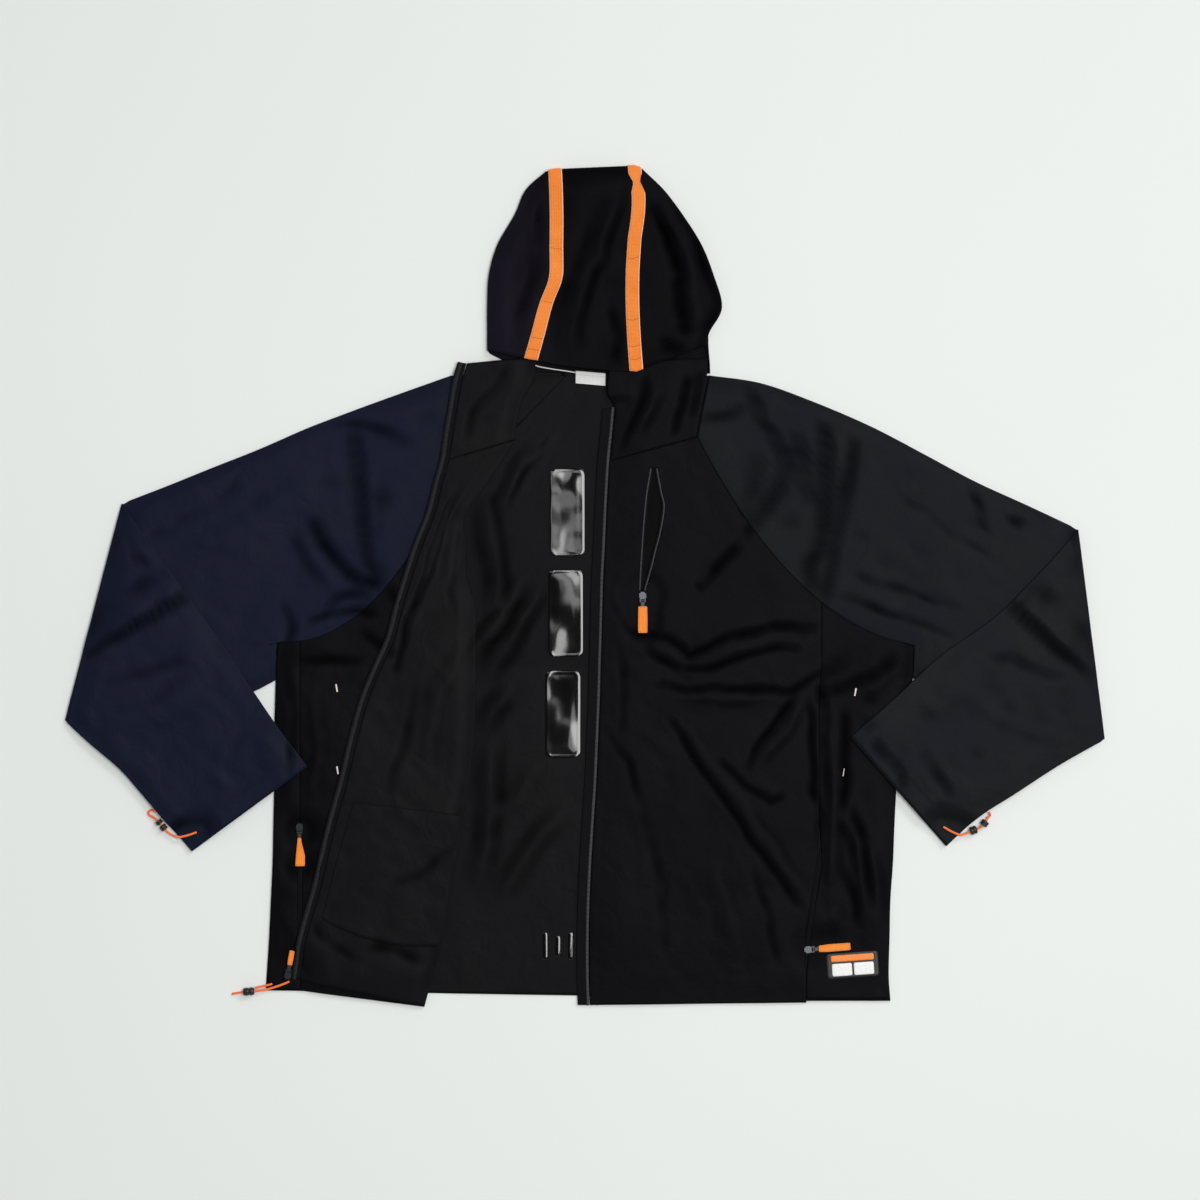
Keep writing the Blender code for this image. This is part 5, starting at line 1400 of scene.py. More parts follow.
def strip_along(starts, ends, level, cells, order=None):
    flat = straight(starts, ends, cells, **PLAIN)
    return lifted(np.dstack([flat, np.full(flat.shape[:2], level)]), order=order)


def zip_line(points):
    """The line along a front's edge where its zip tape comes out."""
    edge = np.array(points, float) - (0.4, 0)
    read = lambda rows: smooth(edge, rows)
    return read(row_numbers(read, len(edge) - 1, ZIP_CELL, **PLAIN))


for side, (edge, across, level) in FRONT_ZIPS.items():
    line = zip_line(edge)
    strip = strip_along(line, line + across, level, 8)
    sewn_on(cloth(f"front_zip_tape_{side}", strip, ZIP_TWILL), f"zip_tape_{side}")
    print(side, "tape:", round(reach_of(strip, "first").max()), "mm long")

# %% Hand-pocket zips, set into the side seams
HAND_ZIP_TOP, HAND_ZIP_END = -296, -436
for side, column, y_column in (("right", 3, 0), ("left", 4, 1)):
    y = np.linspace(HAND_ZIP_TOP, HAND_ZIP_END, 40)
    heights = [row[y_column] for row in BODY_ROWS]
    x = np.interp(y, heights, [row[column] for row in BODY_ROWS])
    half = (side_gap(y) - 0.25)[:, None] * (1, 0)
    middle = np.stack([x, y], axis=1)
    strip = strip_along(middle - half, middle + half, FRONT, 4)
    sewn_on(cloth(f"hand_zip_tape_{side}", strip, ZIP_TWILL), f"hand_zip_{side}")

# %% [markdown]
# ## Pockets
#
# The chest pocket's zip is open, so its slit shows the bag, a strip of cloth beneath, coloured near black as
# painted shade of the deep pocket. The hand pocket's bag is sewn flat on the turned front's inside, so it
# takes that layer's folds.

# %% Chest pocket: a strip of tape along each edge of the gap, and the bag beneath
CHEST_TAPE_WIDTH = 3.2
# x from and to, y from and to
CHEST_BAG = (52, 110, -14, 146)
for side, sign in (("right", 1), ("left", -1)):
    y, left, right = smooth(CHEST_GAP, np.linspace(0, 6, 60)).T
    edge = np.stack([left if side == "right" else right, y], axis=1) + (0.2 * sign, 0)
    edge[:, 1] = np.clip(edge[:, 1], CHEST_GAP[-1][0] + 0.4, CHEST_GAP[0][0] - 0.4)
    reach = np.minimum(CHEST_TAPE_WIDTH, (right - left) / 2 - 0.5)[:, None]
    strip = strip_along(edge, edge + reach * (sign, 0), FRONT, 4)
    sewn_on(cloth(f"chest_zip_tape_{side}", strip, ZIP_TWILL), f"chest_zip_{side}")

x_from, x_to, y_from, y_to = CHEST_BAG
rows = np.linspace(y_from, y_to, 33)
edges = [np.stack([rows * 0 + x, rows], axis=1) for x in (x_from, x_to)]
bag = strip_along(*edges, FRONT, 12, order=0)
# the bag's near-black colour is painted shade
sewn_on(cloth("chest_bag_cloth", bag, SHADED_POCKET), "chest_pocket_bag")

# %% The hand pocket's bag, sewn to the inside of the turned front
INNER_BAG = (
    # left_x left_y right_x right_y, from top to bottom
    (-270, -252, -146, -267), (-281, -290, -151, -300), (-291, -325, -157, -340),
    (-300, -360, -163, -380), (-307, -387, -170, -418),
)
INNER_BAG_DIP, INNER_BAG_LEVEL = -14, TURNED + WALL + 0.15


def make_inner_bag():
    rows = np.linspace(0, 4, 44)
    table = smooth(INNER_BAG, rows)
    flat = straight(table[:, :2], table[:, 2:], 34)
    share = np.linspace(0, 1, flat.shape[1])[None, :]
    flat[..., 1] += (rows[:, None] / 4) ** 4 * INNER_BAG_DIP * 4 * share * (1 - share)
    raised = lifted(np.dstack([flat, np.full(flat.shape[:2], INNER_BAG_LEVEL)]), order=2)
    return drawn_down(raised, "start", "end", "first", "last", depth=0.1)


sewn_on(cloth("hand_bag_cloth", make_inner_bag(), LINING), "pocket_bag_right")
print("pocket bags:", {name: round(AREAS[name], 3) for name in ("chest_bag_cloth", "hand_bag_cloth")}, "m2")

# %% [markdown]
# ## Film tiles, pills and the patch
#
# All are plates with round corners, crowned in the middle. Each is a grid of points, so that film can
# follow the cloth below. The patch is stiff, and stays flat.

# %% Round corners
def rounded_rows(size, radius, cell):
    """Rows of points that fill a rectangle with round corners, centred on 0."""
    half_x, half_y = size[0] / 2, size[1] / 2
    corner = radius * (1 - np.cos(np.linspace(0, pi / 2, 7)))
    side = np.linspace(radius, size[1] - radius, max(2, round((size[1] - 2 * radius) / cell)))
    y = np.concatenate([corner, side[1:-1], size[1] - corner[::-1]]) - half_y
    beyond = np.clip(np.abs(y) - (half_y - radius), 0, radius)
    half = half_x - radius + np.sqrt(np.clip(radius**2 - beyond**2, 0, None))
    half = np.maximum(half, 0.35)
    edge = np.array((0, 0.35, 0.9))
    count = max(3, round((size[0] - 1.8) / cell))
    share = np.linspace(0.9, size[0] - 0.9, count)
    across = np.concatenate([edge[:-1], share, size[0] - edge[:-1][::-1]]) / half_x - 1
    return np.dstack([half[:, None] * across[None, :], np.repeat(y[:, None], len(across), axis=1)])


def edge_distance(flat, size, radius):
    """How far each point of a rounded plate is from its rim."""
    over_x = np.abs(flat[..., 0]) - (size[0] / 2 - radius)
    over_y = np.abs(flat[..., 1]) - (size[1] / 2 - radius)
    outside = np.hypot(np.clip(over_x, 0, None), np.clip(over_y, 0, None))
    inside = np.minimum(np.maximum(over_x, over_y), 0)
    return radius - outside - inside

# %% Plates, tiles and pills
def turned(px, py, x, y, heading):
    """Points turned by these degrees and moved to x, y."""
    turn = radians(heading)
    return x + px * cos(turn) - py * sin(turn), y + px * sin(turn) + py * cos(turn)


def plate(name, centre, size, radius, level, finish, cell, crown, rim=0.0, tilt=0.0, wall=0.6, order=None):
    """A flat plate, crowned in the middle and rounded at its rim. It follows the cloth if it has an order."""
    flat = rounded_rows(size, radius, cell)
    inward = edge_distance(flat, size, radius)
    crowned = crown * np.clip(inward / (0.3 * min(size)), 0, 1) ** 0.7
    height = level + crowned - 0.3 * np.clip(1 - inward / 0.9, 0, 1) ** 2
    height += rim * np.exp(-((inward - 2.0) / 0.8) ** 2)
    points = np.dstack([*turned(flat[..., 0], flat[..., 1], *centre, tilt), height])
    return cloth(name, points if order is None else lifted(points, order=order), finish, wall=wall)


# x, y, width, height of each
TILES = ((-21, 86, 42, 104), (-23, -32, 42, 104), (-26, -150, 42, 104))
PILLS = ((-47, -421, 7, 32), (-32, -421, 7, 24), (-17, -421, 7, 32))
for number, (x, y, width, height) in enumerate(TILES, 1):
    tile = plate(f"film_tile_{number}", (x, y), (width, height), 9, 1.3, FILM, 2.2, 0.3, 0.35, order=0)
    sewn_on(tile, f"gloss_tile_{number}")
for number, (x, y, width, height) in enumerate(PILLS, 1):
    pill = plate(f"film_pill_{number}", (x, y), (width, height), 3.4, 1.25, FILM, 1.2, 0.25, order=0)
    sewn_on(pill, f"gloss_pill_{number}")
print("film:", len(TILES), "tiles and", len(PILLS), "pills")

# %% The patch, its bar and its two blank tiles
PATCH_TILT, PATCH_LEVEL, RAISED_LEVEL = 4, 2.75, 4.35
patch = plate(
    "hem_patch", (312.9, -443), (60, 29), 3.4, PATCH_LEVEL, RUBBER, 1.6, 0.1, 0.35, tilt=PATCH_TILT, wall=1.1)
sewn_on(patch, "patch")
raised = {"crown": 0.15, "tilt": PATCH_TILT, "wall": 0.8}
bar = plate("hem_patch_bar", (312.4, -434.4), (50, 7), 1.6, RAISED_LEVEL, ORANGE_RUBBER, 1.2, **raised)
sewn_on(bar, "patch_bar")
for number, centre in ((1, (300.55, -448.48)), (2, (326.09, -446.7))):
    tile = plate(f"hem_patch_tile_{number}", centre, (23, 14), 1.8, RAISED_LEVEL, WHITE_RUBBER, 1.4, **raised)
    sewn_on(tile, f"patch_tile_{number}")
print("patch top, mm up:", round(float(np.nanmax(GRIDS["hem_patch_tile_1"][..., 2])), 2))

# %% [markdown]
# ## Zip pulls
#
# Each slider stays where it is, and its link and webbing tab swing up round a cross pin. The tab is
# folded webbing, so it is thick, ribbed and a little wavy. It is drawn in the pull's own frame and then
# laid on the jacket, as the solid it stands for was.

# %% Pulls
PULLS = {
    # hinge x y, base height, heading of the tab in degrees, its length, then its edges by share of its length
    "chest": (67.5, -17.5, 4.3, 270, 31, ((0, -5.2, 5.2), (0.5, -5.5, 5.5), (1, -5.4, 5.4))),
    "main": (-346.0, -449.0, 3.9, 80, 17, ((0, -2.6, 2.6), (0.5, -3.0, 3.0), (1, -2.8, 2.8))),
    "hand_right": (
        -333.5, -288.0, 2.6, 270, 33, ((0, -2.2, 1.8), (0.2, -2.6, 2.6), (0.62, -4.2, 6.2), (1, -5.0, 6.2))),
    "hand_left": (267.0, -424.5, 2.6, 4.5, 37, ((0, -3.6, 3.6), (0.3, -4.4, 4.4), (1, -4.2, 4.2))),
}
LINK_LENGTH, TAB_HEIGHT = 6.0, 2.3


def laid(points, x, y, z, heading):
    """Points of a pull's own frame, put on the jacket. Its tab points to local -Y."""
    flat = turned(points[..., 0], points[..., 1], x, y, heading + 90)
    return np.stack([*flat, z + points[..., 2]], axis=-1)


def make_tab(name):
    x, y, base, heading, length, widths = PULLS[name]
    stops, lefts, rights = zip(*widths)
    share = np.concatenate([[0, 0.012, 0.04], np.linspace(0.08, 0.92, 26), [0.96, 0.988, 1]])
    round_off = 1 - 0.16 * np.clip(1 - np.minimum(share, 1 - share) / 0.04, 0, 1) ** 2
    left, right = np.interp(share, stops, lefts) * round_off, np.interp(share, stops, rights) * round_off
    across = np.linspace(0, 1, 13)
    px = left[:, None] + (right - left)[:, None] * across[None, :]
    py = np.repeat((-LINK_LENGTH - 0.3 - share * length)[:, None], 13, axis=1)
    wave = 0.16 * np.sin(share * 7 + 1)[:, None] + 0.1 * (1 - (2 * across[None, :] - 1) ** 6)
    points = laid(np.dstack([px, py, TAB_HEIGHT + wave]), x, y, base, heading)
    made = cloth(f"{name}_pull_tab", points, PULL_WEBBING, wall=1.3)
    return sewn_on(made, f"{name}_tab", body=f"{name}_pull")


for name in PULLS:
    make_tab(name)
    for part, finish in (("slider", GUNMETAL), ("link", NYLON)):
        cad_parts[f"{name}_{part}"].data.materials.clear()
        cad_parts[f"{name}_{part}"].data.materials.append(finish)
print("pulls:", ", ".join(PULLS))

# %% [markdown]
# ## Drawcords and their locks
#
# The hem and both cuffs are drawn in by thin elastic cord. Each lies where its solid does: out of an
# eyelet, through a barrel lock, and on to its end. A tube of rings follows the route, because its UV map
# then carries the braid round and along the cord.

# %% Cords
CORD_RADIUS = 1.3
CORDS = {
    "hem_cord": (
        (-346, -462.5, 3.9), (-353, -465.5, 3.9), (-360, -468, 3.9), (-368, -470.5, 3.9), (-376, -472.3, 4.2),
        (-386.3, -473.4, 4.6), (-392.8, -473.9, 4.6), (-399.3, -474.4, 4.6), (-404, -475.4, 2.6),
        (-412.5, -477, 1.6),
    ),
    "hem_cord_return": (
        (-366, -465.3, 3.9), (-371, -466.6, 3.9), (-376.5, -467.8, 3.9), (-381, -468.8, 4), (-385, -469.6, 4),
    ),
    "cuff_cord_right": (
        (-454, -287.8, 6.5), (-462, -290.6, 6.5), (-470, -292.7, 7.2), (-475, -293.2, 7.2), (-480.5, -292, 5),
        (-486.5, -288.6, 4.2), (-490.5, -284.7, 4.2), (-493.2, -281.4, 4.2), (-497.9, -275.8, 4.2),
        (-501, -272.6, 4.2),
        (-505.5, -270, 2.4), (-509.6, -268, 1.6), (-510.5, -264.8, 1.6), (-507, -262, 1.6), (-502, -263, 6.5),
    ),
    "cuff_cord_left": (
        (419, -281.5, 6.5), (428, -286.7, 6.5), (436.5, -290.3, 7.4), (441, -290.6, 6.4), (446, -289, 4.8),
        (450, -287, 4.8), (454, -285.5, 4.8), (459.5, -283.6, 4.8), (463.8, -281, 4.8), (468, -275.8, 4.8),
        (471, -271.4, 4.4), (473.8, -268.4, 1.6), (472.6, -264.8, 6.1),
    ),
}
print("cords:", ", ".join(CORDS))

# %% A smooth route, and rings round it
def through_points(points, per_span):
    """A smooth curve through a route's own points."""
    points = np.array(points, float)
    padded = np.vstack([2 * points[0] - points[1], points, 2 * points[-1] - points[-2]])
    found = []
    for k in range(1, len(padded) - 2):
        before, start, end, after = padded[k - 1:k + 3]
        for t in np.arange(per_span) / per_span:
            found.append(0.5 * (
                2 * start + (end - before) * t + (2 * before - 5 * start + 4 * end - after) * t**2
                + (3 * start - before - 3 * end + after) * t**3))
    return np.array(found + [points[-1]])


def ring_faces(here, beyond, sides):
    """The faces between two rings, given the number of each one's first point."""
    return [(here + j, here + (j + 1) % sides, beyond + (j + 1) % sides, beyond + j) for j in range(sides)]


def faces_outwards(made):
    """The piece, with every face turned outwards."""
    bm = bmesh.new()
    bm.from_mesh(made.data)
    bmesh.ops.recalc_face_normals(bm, faces=bm.faces)
    bm.to_mesh(made.data)
    bm.free()
    return made


def line_length(points):
    return float(norm(np.diff(points, axis=0), axis=1).sum())


# %% A tube along a route
def tube(name, route, radius, finish, sides=14):
    """A closed tube along a route, with rounded ends and a UV map in metres."""
    route = np.array(route, float)
    ahead = np.gradient(route, axis=0)
    ahead /= norm(ahead, axis=1)[:, None]
    side = np.cross(ahead, (0, 0, 1.0))
    side /= norm(side, axis=1)[:, None]
    up = np.cross(side, ahead)
    run = np.concatenate([[0], np.cumsum(norm(np.diff(route, axis=0), axis=1))])
    rings = [(route[0] - ahead[0] * radius * 0.5, 0.5, 0, -0.5 * radius)]
    rings += [(point, 1.0, k, distance) for k, (point, distance) in enumerate(zip(route, run))]
    rings += [(route[-1] + ahead[-1] * radius * 0.5, 0.5, len(route) - 1, run[-1] + 0.5 * radius)]
    angles = np.linspace(0, 2 * pi, sides, endpoint=False)
    vertices, uv_rows = [], []
    for centre, size, k, distance in rings:
        vertices += [
            tuple((centre + radius * size * (cos(a) * side[k] + sin(a) * up[k])) * MM) for a in angles]
        uv_rows.append(distance * MM)
    faces, uv = [tuple(range(sides))[::-1]], [(0, 0)] * sides
    around = 2 * pi * radius * MM / sides
    for row in range(len(rings) - 1):
        faces += ring_faces(row * sides, (row + 1) * sides, sides)
        low, high = uv_rows[row:row + 2]
        for j in range(sides):
            uv += [(u * around, v) for u, v in ((j, low), (j + 1, low), (j + 1, high), (j, high))]
    faces.append(tuple(range((len(rings) - 1) * sides, len(rings) * sides)))
    uv += [(0, 0)] * sides
    return faces_outwards(piece(name, vertices, faces, finish, uv))


ROUTES = {name: through_points(points, 5) for name, points in CORDS.items()}
for name, route in ROUTES.items():
    sewn_on(tube(f"{name}_braid", route, CORD_RADIUS, CORD_BRAID), name)
LENGTHS = {name: line_length(route) for name, route in ROUTES.items()}
print("cords, mm:", {name: round(length, 1) for name, length in LENGTHS.items()})

# %% [markdown]
# ## Cord locks and caps
#
# A lock is a turned barrel, so a profile is spun round the cord, bore included. A bevel softens its rims.

# %% Barrel locks and end caps, turned about their cord
LOCKS = {
    # centre x y, radius, heading, length
    "hem_cord_lock": (-392.8, -473.9, 4.6, 184.4, 13.0),
    "cuff_lock_right": (-492.4, -282.4, 4.2, 130, 6.5),
    "cuff_cap_right": (-497.6, -276.2, 4.2, 130, 5.0),
    "cuff_lock_left": (454.0, -285.5, 4.8, 20, 8.5),
    "cuff_cap_left": (466.9, -277.2, 4.8, 52, 6.5),
}
# share of the length, share of the radius: a rounded mouth, a waist with a groove, and the bore
BARREL = (
    (-0.5, 0.62), (-0.47, 0.8), (-0.4, 0.93), (-0.3, 1.0), (-0.12, 1.0), (-0.1, 0.86), (0.02, 0.84),
    (0.04, 0.98),
    (0.2, 1.0), (0.36, 0.97), (0.45, 0.86), (0.5, 0.68),
)
LOCK_BORE = 1.75


def turned_barrel(name, finish, sides=36):
    x, y, radius, heading, length = LOCKS[name]
    profile = [(share * length, size * radius) for share, size in BARREL]
    profile += [(0.5 * length - 0.2, LOCK_BORE), (-0.5 * length + 0.2, LOCK_BORE)]
    vertices, faces = [], []
    for along, size in profile:
        for a in np.linspace(0, 2 * pi, sides, endpoint=False):
            px, py = turned(along, size * cos(a), x, y, heading)
            vertices.append((px * MM, py * MM, (radius + size * sin(a)) * MM))
    for row in range(len(profile)):
        faces += ring_faces(row * sides, (row + 1) % len(profile) * sides, sides)
    made = faces_outwards(piece(f"{name}_barrel", vertices, faces, finish))
    edges = made.modifiers.new("soft edges", "BEVEL")
    edges.width, edges.segments, edges.limit_method, edges.angle_limit = 0.25 * MM, 2, "ANGLE", radians(40)
    return sewn_on(applied(made), name)


LOCK_PIECES = {name: turned_barrel(name, NYLON) for name in LOCKS}
print("locks and caps:", ", ".join(LOCK_PIECES))

# %% [markdown]
# ## Stitches and zip coils
#
# A seam is a run of short threads, and a zip coil is a run of small loops. Both are the same rule: step
# along a line and put down a bead. One Geometry Nodes tree does it, with the pitch and the bead's size
# as named inputs. Its lines come from the finished cloth, so a stitch lies on the fold it is sewn through.

# %% One tree for every run of beads
def bead_tree():
    tree = bpy.data.node_groups.new("beads along lines", "GeometryNodeTree")
    tree.interface.new_socket("Geometry", in_out="INPUT", socket_type="NodeSocketGeometry")
    for name in ("Pitch", "Across", "Up", "Along"):
        tree.interface.new_socket(name, in_out="INPUT", socket_type="NodeSocketFloat")
    tree.interface.new_socket("Finish", in_out="INPUT", socket_type="NodeSocketMaterial")
    tree.interface.new_socket("Geometry", in_out="OUTPUT", socket_type="NodeSocketGeometry")
    given = node(tree, "NodeGroupInput").outputs
    line = node(tree, "GeometryNodeMeshToCurve", {"Mesh": given["Geometry"]})
    level = node(tree, "GeometryNodeSetCurveNormal", {"Curve": line.outputs[0]}, mode="Z_UP")
    steps = node(tree, "GeometryNodeCurveToPoints", {
        "Curve": level.outputs[0], "Length": given["Pitch"]}, mode="LENGTH")
    bead = node(tree, "GeometryNodeMeshUVSphere", {"Segments": 6, "Rings": 4, "Radius": 1.0})
    size = node(tree, "ShaderNodeCombineXYZ", {"X": given["Across"], "Y": given["Up"], "Z": given["Along"]})
    beads = node(tree, "GeometryNodeInstanceOnPoints", {
        "Points": steps.outputs["Points"], "Instance": bead.outputs["Mesh"],
        "Rotation": steps.outputs["Rotation"], "Scale": size.outputs[0]})
    real = node(tree, "GeometryNodeRealizeInstances", {"Geometry": beads.outputs[0]})
    smooth_beads = node(tree, "GeometryNodeSetShadeSmooth", {"Geometry": real.outputs[0]})
    finished = node(tree, "GeometryNodeSetMaterial", {
        "Geometry": smooth_beads.outputs[0], "Material": given["Finish"]})
    node(tree, "NodeGroupOutput", {"Geometry": finished.outputs[0]})
    return tree


BEADS = bead_tree()


def run_of_beads(name, lines, pitch, across, up, along, finish, body="jacket"):
    """Beads on each of these lines of points, all sizes in millimetres."""
    vertices, edges = [], []
    for line in lines:
        first = len(vertices)
        vertices += [tuple(np.asarray(point) * MM) for point in line]
        edges += [(k, k + 1) for k in range(first, len(vertices) - 1)]
    mesh = bpy.data.meshes.new(name)
    mesh.from_pydata(vertices, edges, [])
    made = placed(name, mesh)
    modifier = made.modifiers.new("beads", "NODES")
    modifier.node_group = BEADS
    sockets = {item.name: item.identifier for item in BEADS.interface.items_tree if item.in_out == "INPUT"}
    for key, value in (("Pitch", pitch), ("Across", across), ("Up", up), ("Along", along)):
        modifier[sockets[key]] = value * MM
    modifier[sockets["Finish"]] = finish
    applied(made)
    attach(made, body)
    return made


# %% Lines for the needle
def beside(name, edge, inset, lift_by=WALL / 2, seen=None, shortest=12):
    """Lines at this distance from an edge of a finished grid, on its upper face, where the test sees them."""
    points = GRIDS[name]
    if edge in ("first", "last"):
        points = points.transpose(1, 0, 2)
    if edge in ("end", "last"):
        points = points[:, ::-1]
    run = run_along(points, 1)
    line = np.array([[np.interp(inset, r, p[:, k]) for k in range(3)] for r, p in zip(run, points)])
    kept = ~np.isnan(line[:, 0]) & (np.ones(len(line), bool) if seen is None else seen(line))
    found, current = [], []
    for point, good in zip(line + (0, 0, lift_by), kept):
        if good:
            current.append(point)
        else:
            found.append(current)
            current = []
    found.append(current)
    return [part for part in found if len(part) > 1 and line_length(part) > shortest]


def rows_beside(name, insets_by_edge, seen=None):
    """The same, for several edges and distances at once."""
    return [
        line for edge, insets in insets_by_edge.items() for inset in insets
        for line in beside(name, edge, inset, seen=seen)]


# %% Which seams show
upper_face = lambda line: line[:, 2] > FRONT - 0.5
turned_side = lambda line: line[:, 2] > TURNED - 0.2
hood_top = lambda line: line[:, 2] > TOP - 0.4
on_hood = lambda line: line[:, 2] > TOP
forearm_top = lambda line: line[:, 2] > TOP - 0.3
OPEN_FRONT, HEM = (2.0, 7.5), (1.8, 22.0)
SEAMS = []
for side in ("left", "right"):
    SEAMS += rows_beside(f"sleeve_{side}_cloth", {"first": (1.6, 6.4)}, upper_face)
    SEAMS += rows_beside(f"sleeve_{side}_cloth", {"last": (3.0, 20.0, 22.0)}, forearm_top)
SEAMS += rows_beside("front_left_cloth", {"first": HEM, "start": (2.0, 8.5), "end": (1.8,), "last": (1.8,)})
SEAMS += rows_beside("front_right_cloth", {"first": HEM, "end": OPEN_FRONT, "last": (1.8,)}, turned_side)
SEAMS += beside("front_right_cloth", "start", 1.8, seen=lambda line: line[:, 0] < -200)
SEAMS += beside("back_cloth", "first", 22.0)
SEAMS += beside("back_cloth", "end", 1.8, seen=lambda line: (line[:, 0] > 250) & (line[:, 1] < -40))
SEAMS += beside("back_cloth", "start", 1.8, seen=lambda line: (line[:, 0] < -300) & (line[:, 1] < -60))
for inset in (1.8, 20.0):
    SEAMS += beside("hood_middle_cloth", "start", inset)
    for side in ("left", "right"):
        SEAMS += beside(f"hood_{side}_cloth", "last", inset, seen=hood_top)
SEAMS += rows_beside("hood_corner_left_cloth", {"first": (1.8,), "start": (2.0, 8.5)})
SEAMS += rows_beside("hood_corner_right_cloth", {"first": (1.8,), "end": OPEN_FRONT}, turned_side)
for edge in ("start", "end", "first", "last"):
    SEAMS += beside("hand_bag_cloth", edge, 1.6)
print("seam lines:", len(SEAMS))

# %% Sew: pitch, then half the width, height and length of each stitch
run_of_beads("seam_stitches", SEAMS, 3.4, 0.22, 0.16, 1.25, THREAD_DARK)
webbing_lines = []
for side in ("left", "right"):
    for edge in ("start", "end"):
        webbing_lines += beside(f"hood_webbing_{side}", edge, 1.3, TAPE_WALL / 2, on_hood)
run_of_beads("webbing_stitches", webbing_lines, 3.0, 0.2, 0.14, 1.1, THREAD_BROWN)
# cross-stitches hold the webbing down, this far along it
crosses = []
for side, distances in (("right", (12, 26, 70, 134)), ("left", (14, 29, 60, 132))):
    for distance in distances:
        part = np.array(beside(f"hood_webbing_{side}", "first", distance, TAPE_WALL / 2)[0])
        crosses.append(part[1:-1])
run_of_beads("webbing_cross_stitches", crosses, 1.5, 0.3, 0.18, 0.8, THREAD_BROWN)
print("webbing:", len(webbing_lines), "long rows and", len(crosses), "short ones")

# %% [markdown]
# ## Zip coils and bar tacks
#
# A coil's loops stand close, and a bar tack is a dense row of pale thread: beads again, with other sizes.

# %% Coils of the zips
coil = beside("front_zip_tape_left", "start", 1.9)
# the grey of this coil is a painted highlight along the left front's edge
run_of_beads("front_zip_coil_left", coil, 1.5, 2.0, 0.6, 0.55, GREY_HIGHLIGHT_COIL)
coil = beside("front_zip_tape_right", "end", 3.9)
run_of_beads("front_zip_coil_right", coil, 1.5, 3.2, 0.55, 0.5, DIM_COIL)
coils, middle, half_length = [], (HAND_ZIP_TOP + HAND_ZIP_END) / 2, 62
for side in ("left", "right"):
    coils += beside(
        f"hand_zip_tape_{side}", "start", 2.4, seen=lambda line: abs(line[:, 1] - middle) < half_length)
run_of_beads("hand_zip_coils", coils, 1.4, 0.9, 0.45, 0.5, COIL)
coils = beside("chest_zip_tape_left", "start", 0.8) + beside("chest_zip_tape_right", "start", 0.8)
# the grey of these coils is a painted highlight along the chest gap's edges
run_of_beads("chest_zip_coils", coils, 1.4, 1.1, 0.5, 0.5, GREY_HIGHLIGHT_COIL)
print("chest coils:", len(coils))

# %% Bar tacks where pocket openings end, in pale thread
# x, y, heading
TACKS = ((-290.2, -119.3, 100), (-289, -215.3, 100), (315.9, -124, 80), (301.9, -217.6, 80))
tack_lines = []
for x, y, heading in TACKS:
    span = np.linspace(-4.2, 4.2, 8)
    base = np.stack([*turned(span, 0, x, y, heading), np.full(len(span), FRONT)], axis=1)
    tack_lines.append(lifted(base[None])[0] + (0, 0, WALL / 2))
run_of_beads("bar_tacks", tack_lines, 0.7, 1.2, 0.3, 0.4, THREAD_PALE)

# %% Stitched rims of the film tiles, and of the webbing tabs
rims = []
for number in (1, 2, 3):
    for edge in ("start", "end", "first", "last"):
        rims += beside(f"film_tile_{number}", edge, 4.4, 0.36, shortest=5)
run_of_beads("film_stitches", rims, 2.6, 0.3, 0.2, 0.9, THREAD_DARK)
for name in PULLS:
    tab_lines = []
    for edge, inset in (("start", 1.0), ("end", 1.0), ("last", 1.6), ("first", 1.4)):
        tab_lines += beside(f"{name}_pull_tab", edge, inset, 0.66, shortest=3)
    run_of_beads(f"{name}_tab_stitches", tab_lines, 2.2, 0.18, 0.14, 0.8, THREAD_BROWN, f"{name}_pull")

# %% [markdown]
# ## Sheets
#
# Each cut piece's size, as it was cut, is worked out from its own grid.

# %% The cut size of each piece, from its grid
LAID_ON = {
    "back_cloth": ("folded", []), "front_left_cloth": ("laid", ["back_cloth"]),
    "front_right_cloth": ("folded", ["back_cloth"]), "sleeve_left_cloth": ("folded", ["front_left_cloth"]),
    "sleeve_right_cloth": ("folded", []), "hood_middle_cloth": ("folded", []),
    "hood_left_cloth": ("folded", []),
    "hood_right_cloth": ("folded", []), "hood_corner_left_cloth": ("laid", ["back_cloth"]),
    "hood_corner_right_cloth": ("folded", ["back_cloth"]), "hand_bag_cloth": ("laid", ["front_right_cloth"]),
    "chest_bag_cloth": ("laid", ["back_cloth"]), "hood_webbing_left": ("folded", ["hood_middle_cloth"]),
    "hood_webbing_right": ("folded", ["hood_middle_cloth"]), "front_zip_tape_left": ("laid", ["back_cloth"]),
    "front_zip_tape_right": ("laid", ["sleeve_right_cloth"]), "neck_label_cloth": ("laid", ["back_cloth"]),
}
for name, (held, under) in LAID_ON.items():
    grid = GRIDS[name]
    grid = np.concatenate([grid, grid[:, :1]], axis=1) if name.startswith("sleeve") else grid
    flat = (run_along(grid, 1).max() * MM, run_along(grid, 0).max() * MM)

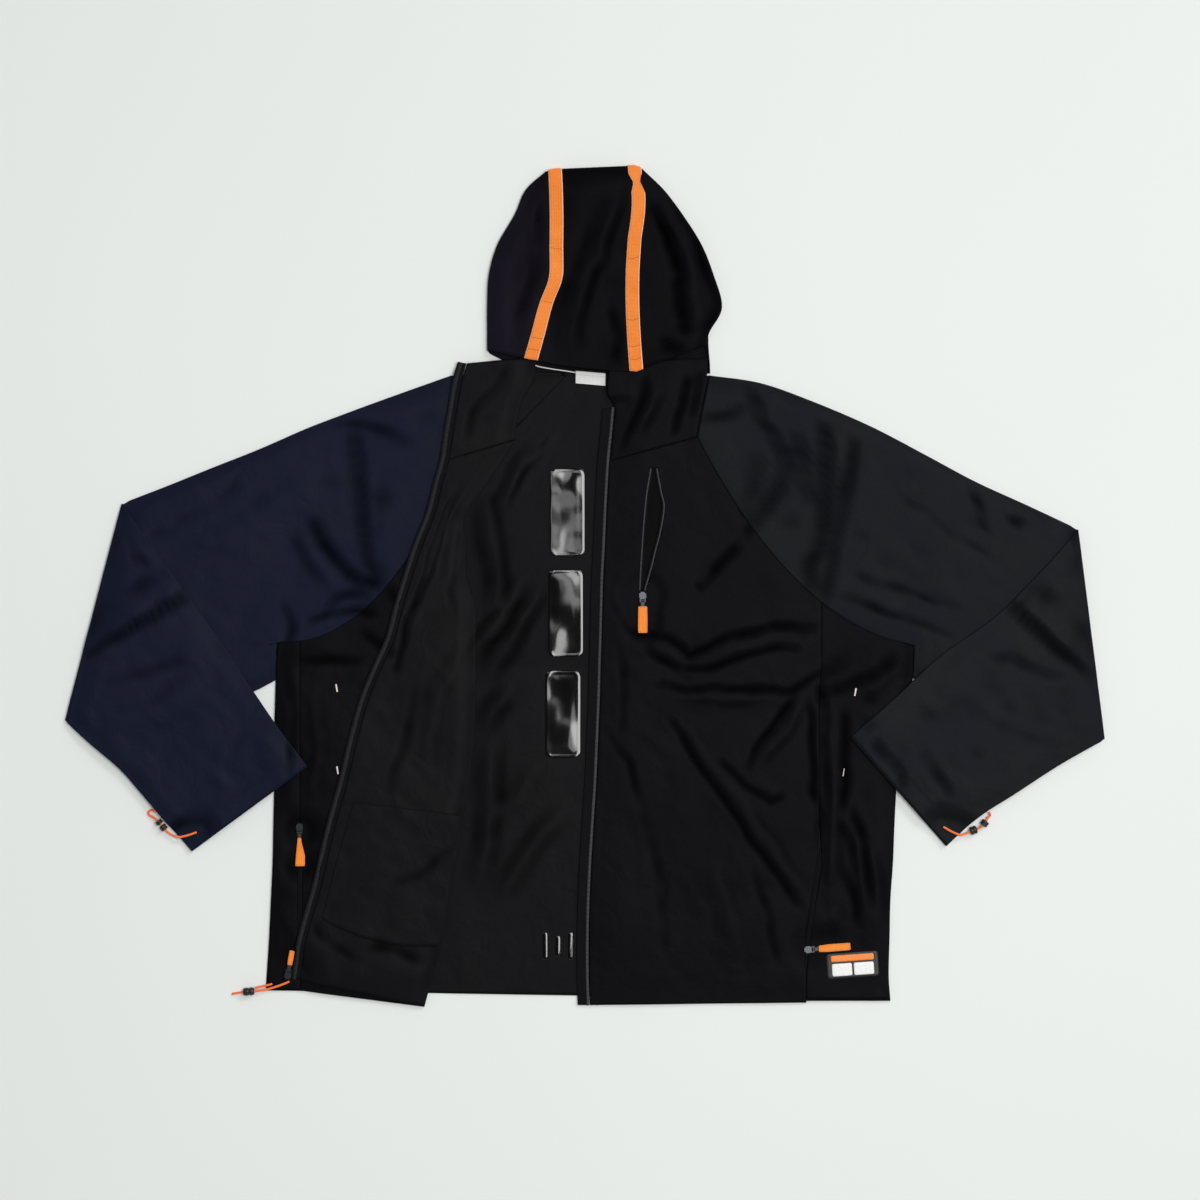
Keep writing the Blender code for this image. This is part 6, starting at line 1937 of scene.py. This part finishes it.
# %% [markdown]
# ## Floor and light
#
# The photograph was taken under a wide, even ceiling light, a little stronger from the upper right.

# %% Floor
def make_floor():
    material, tree, shader = new_finish("white painted table", Roughness=0.7)
    cloud = noise(tree, node(tree, "ShaderNodeTexCoord").outputs, 1.2, 2.0)
    tree.links.new(mixed(tree, cloud, colour("#E3E7E4"), colour("#E8ECEA")), shader.inputs["Base Color"])
    made = piece("table", [(-4, -4, 0), (4, -4, 0), (4, 4, 0), (-4, 4, 0)], [(0, 1, 2, 3)], material)


def make_light(name, kind, energy, place, aim=(0, 0, 0), **settings):
    lamp = bpy.data.lights.new(name, kind)
    lamp.energy = energy
    for key, value in settings.items():
        setattr(lamp, key, value)
    made = placed(name, lamp)
    made.location = place
    made.rotation_euler = (Vector(aim) - Vector(place)).to_track_quat("-Z", "Y").to_euler()


# the room: bright low down and dim overhead, so that black cloth keeps its depth
HORIZON_GLOW, ZENITH_GLOW = 0.82, 0.05


def make_room():
    world = bpy.data.worlds.new("room")
    world.use_nodes = True
    tree = world.node_tree
    direction = node(tree, "ShaderNodeTexCoord").outputs["Generated"]
    height = node(tree, "ShaderNodeSeparateXYZ", {0: direction}).outputs["Z"]
    glow = ranged(tree, height, 0, 0.9, HORIZON_GLOW, ZENITH_GLOW)
    tree.nodes["Background"].inputs["Color"].default_value = colour("#F6F7F7")
    tree.links.new(glow, tree.nodes["Background"].inputs["Strength"])
    bpy.context.scene.world = world


make_floor()
make_room()
make_light(
    "ceiling panel", "AREA", 162, (1.34, 0.15, 4.8), aim=(0.0, -0.1, 0), shape="RECTANGLE", size=2.5,
    size_y=2.4, color=(1.0, 0.995, 0.985))
make_light("window", "SUN", 0.85, (1.15, 1.3, 1.25), angle=radians(20))
for name, place in (("left tube", (-0.45, 0.35, 2.4)), ("right tube", (0.55, 0.75, 2.4))):
    make_light(name, "AREA", 1.8, place, shape="RECTANGLE", size=0.14, size_y=1.3)
bpy.context.scene.view_settings.view_transform = "Standard"
print("lights:", len(bpy.data.lights), "and the room")
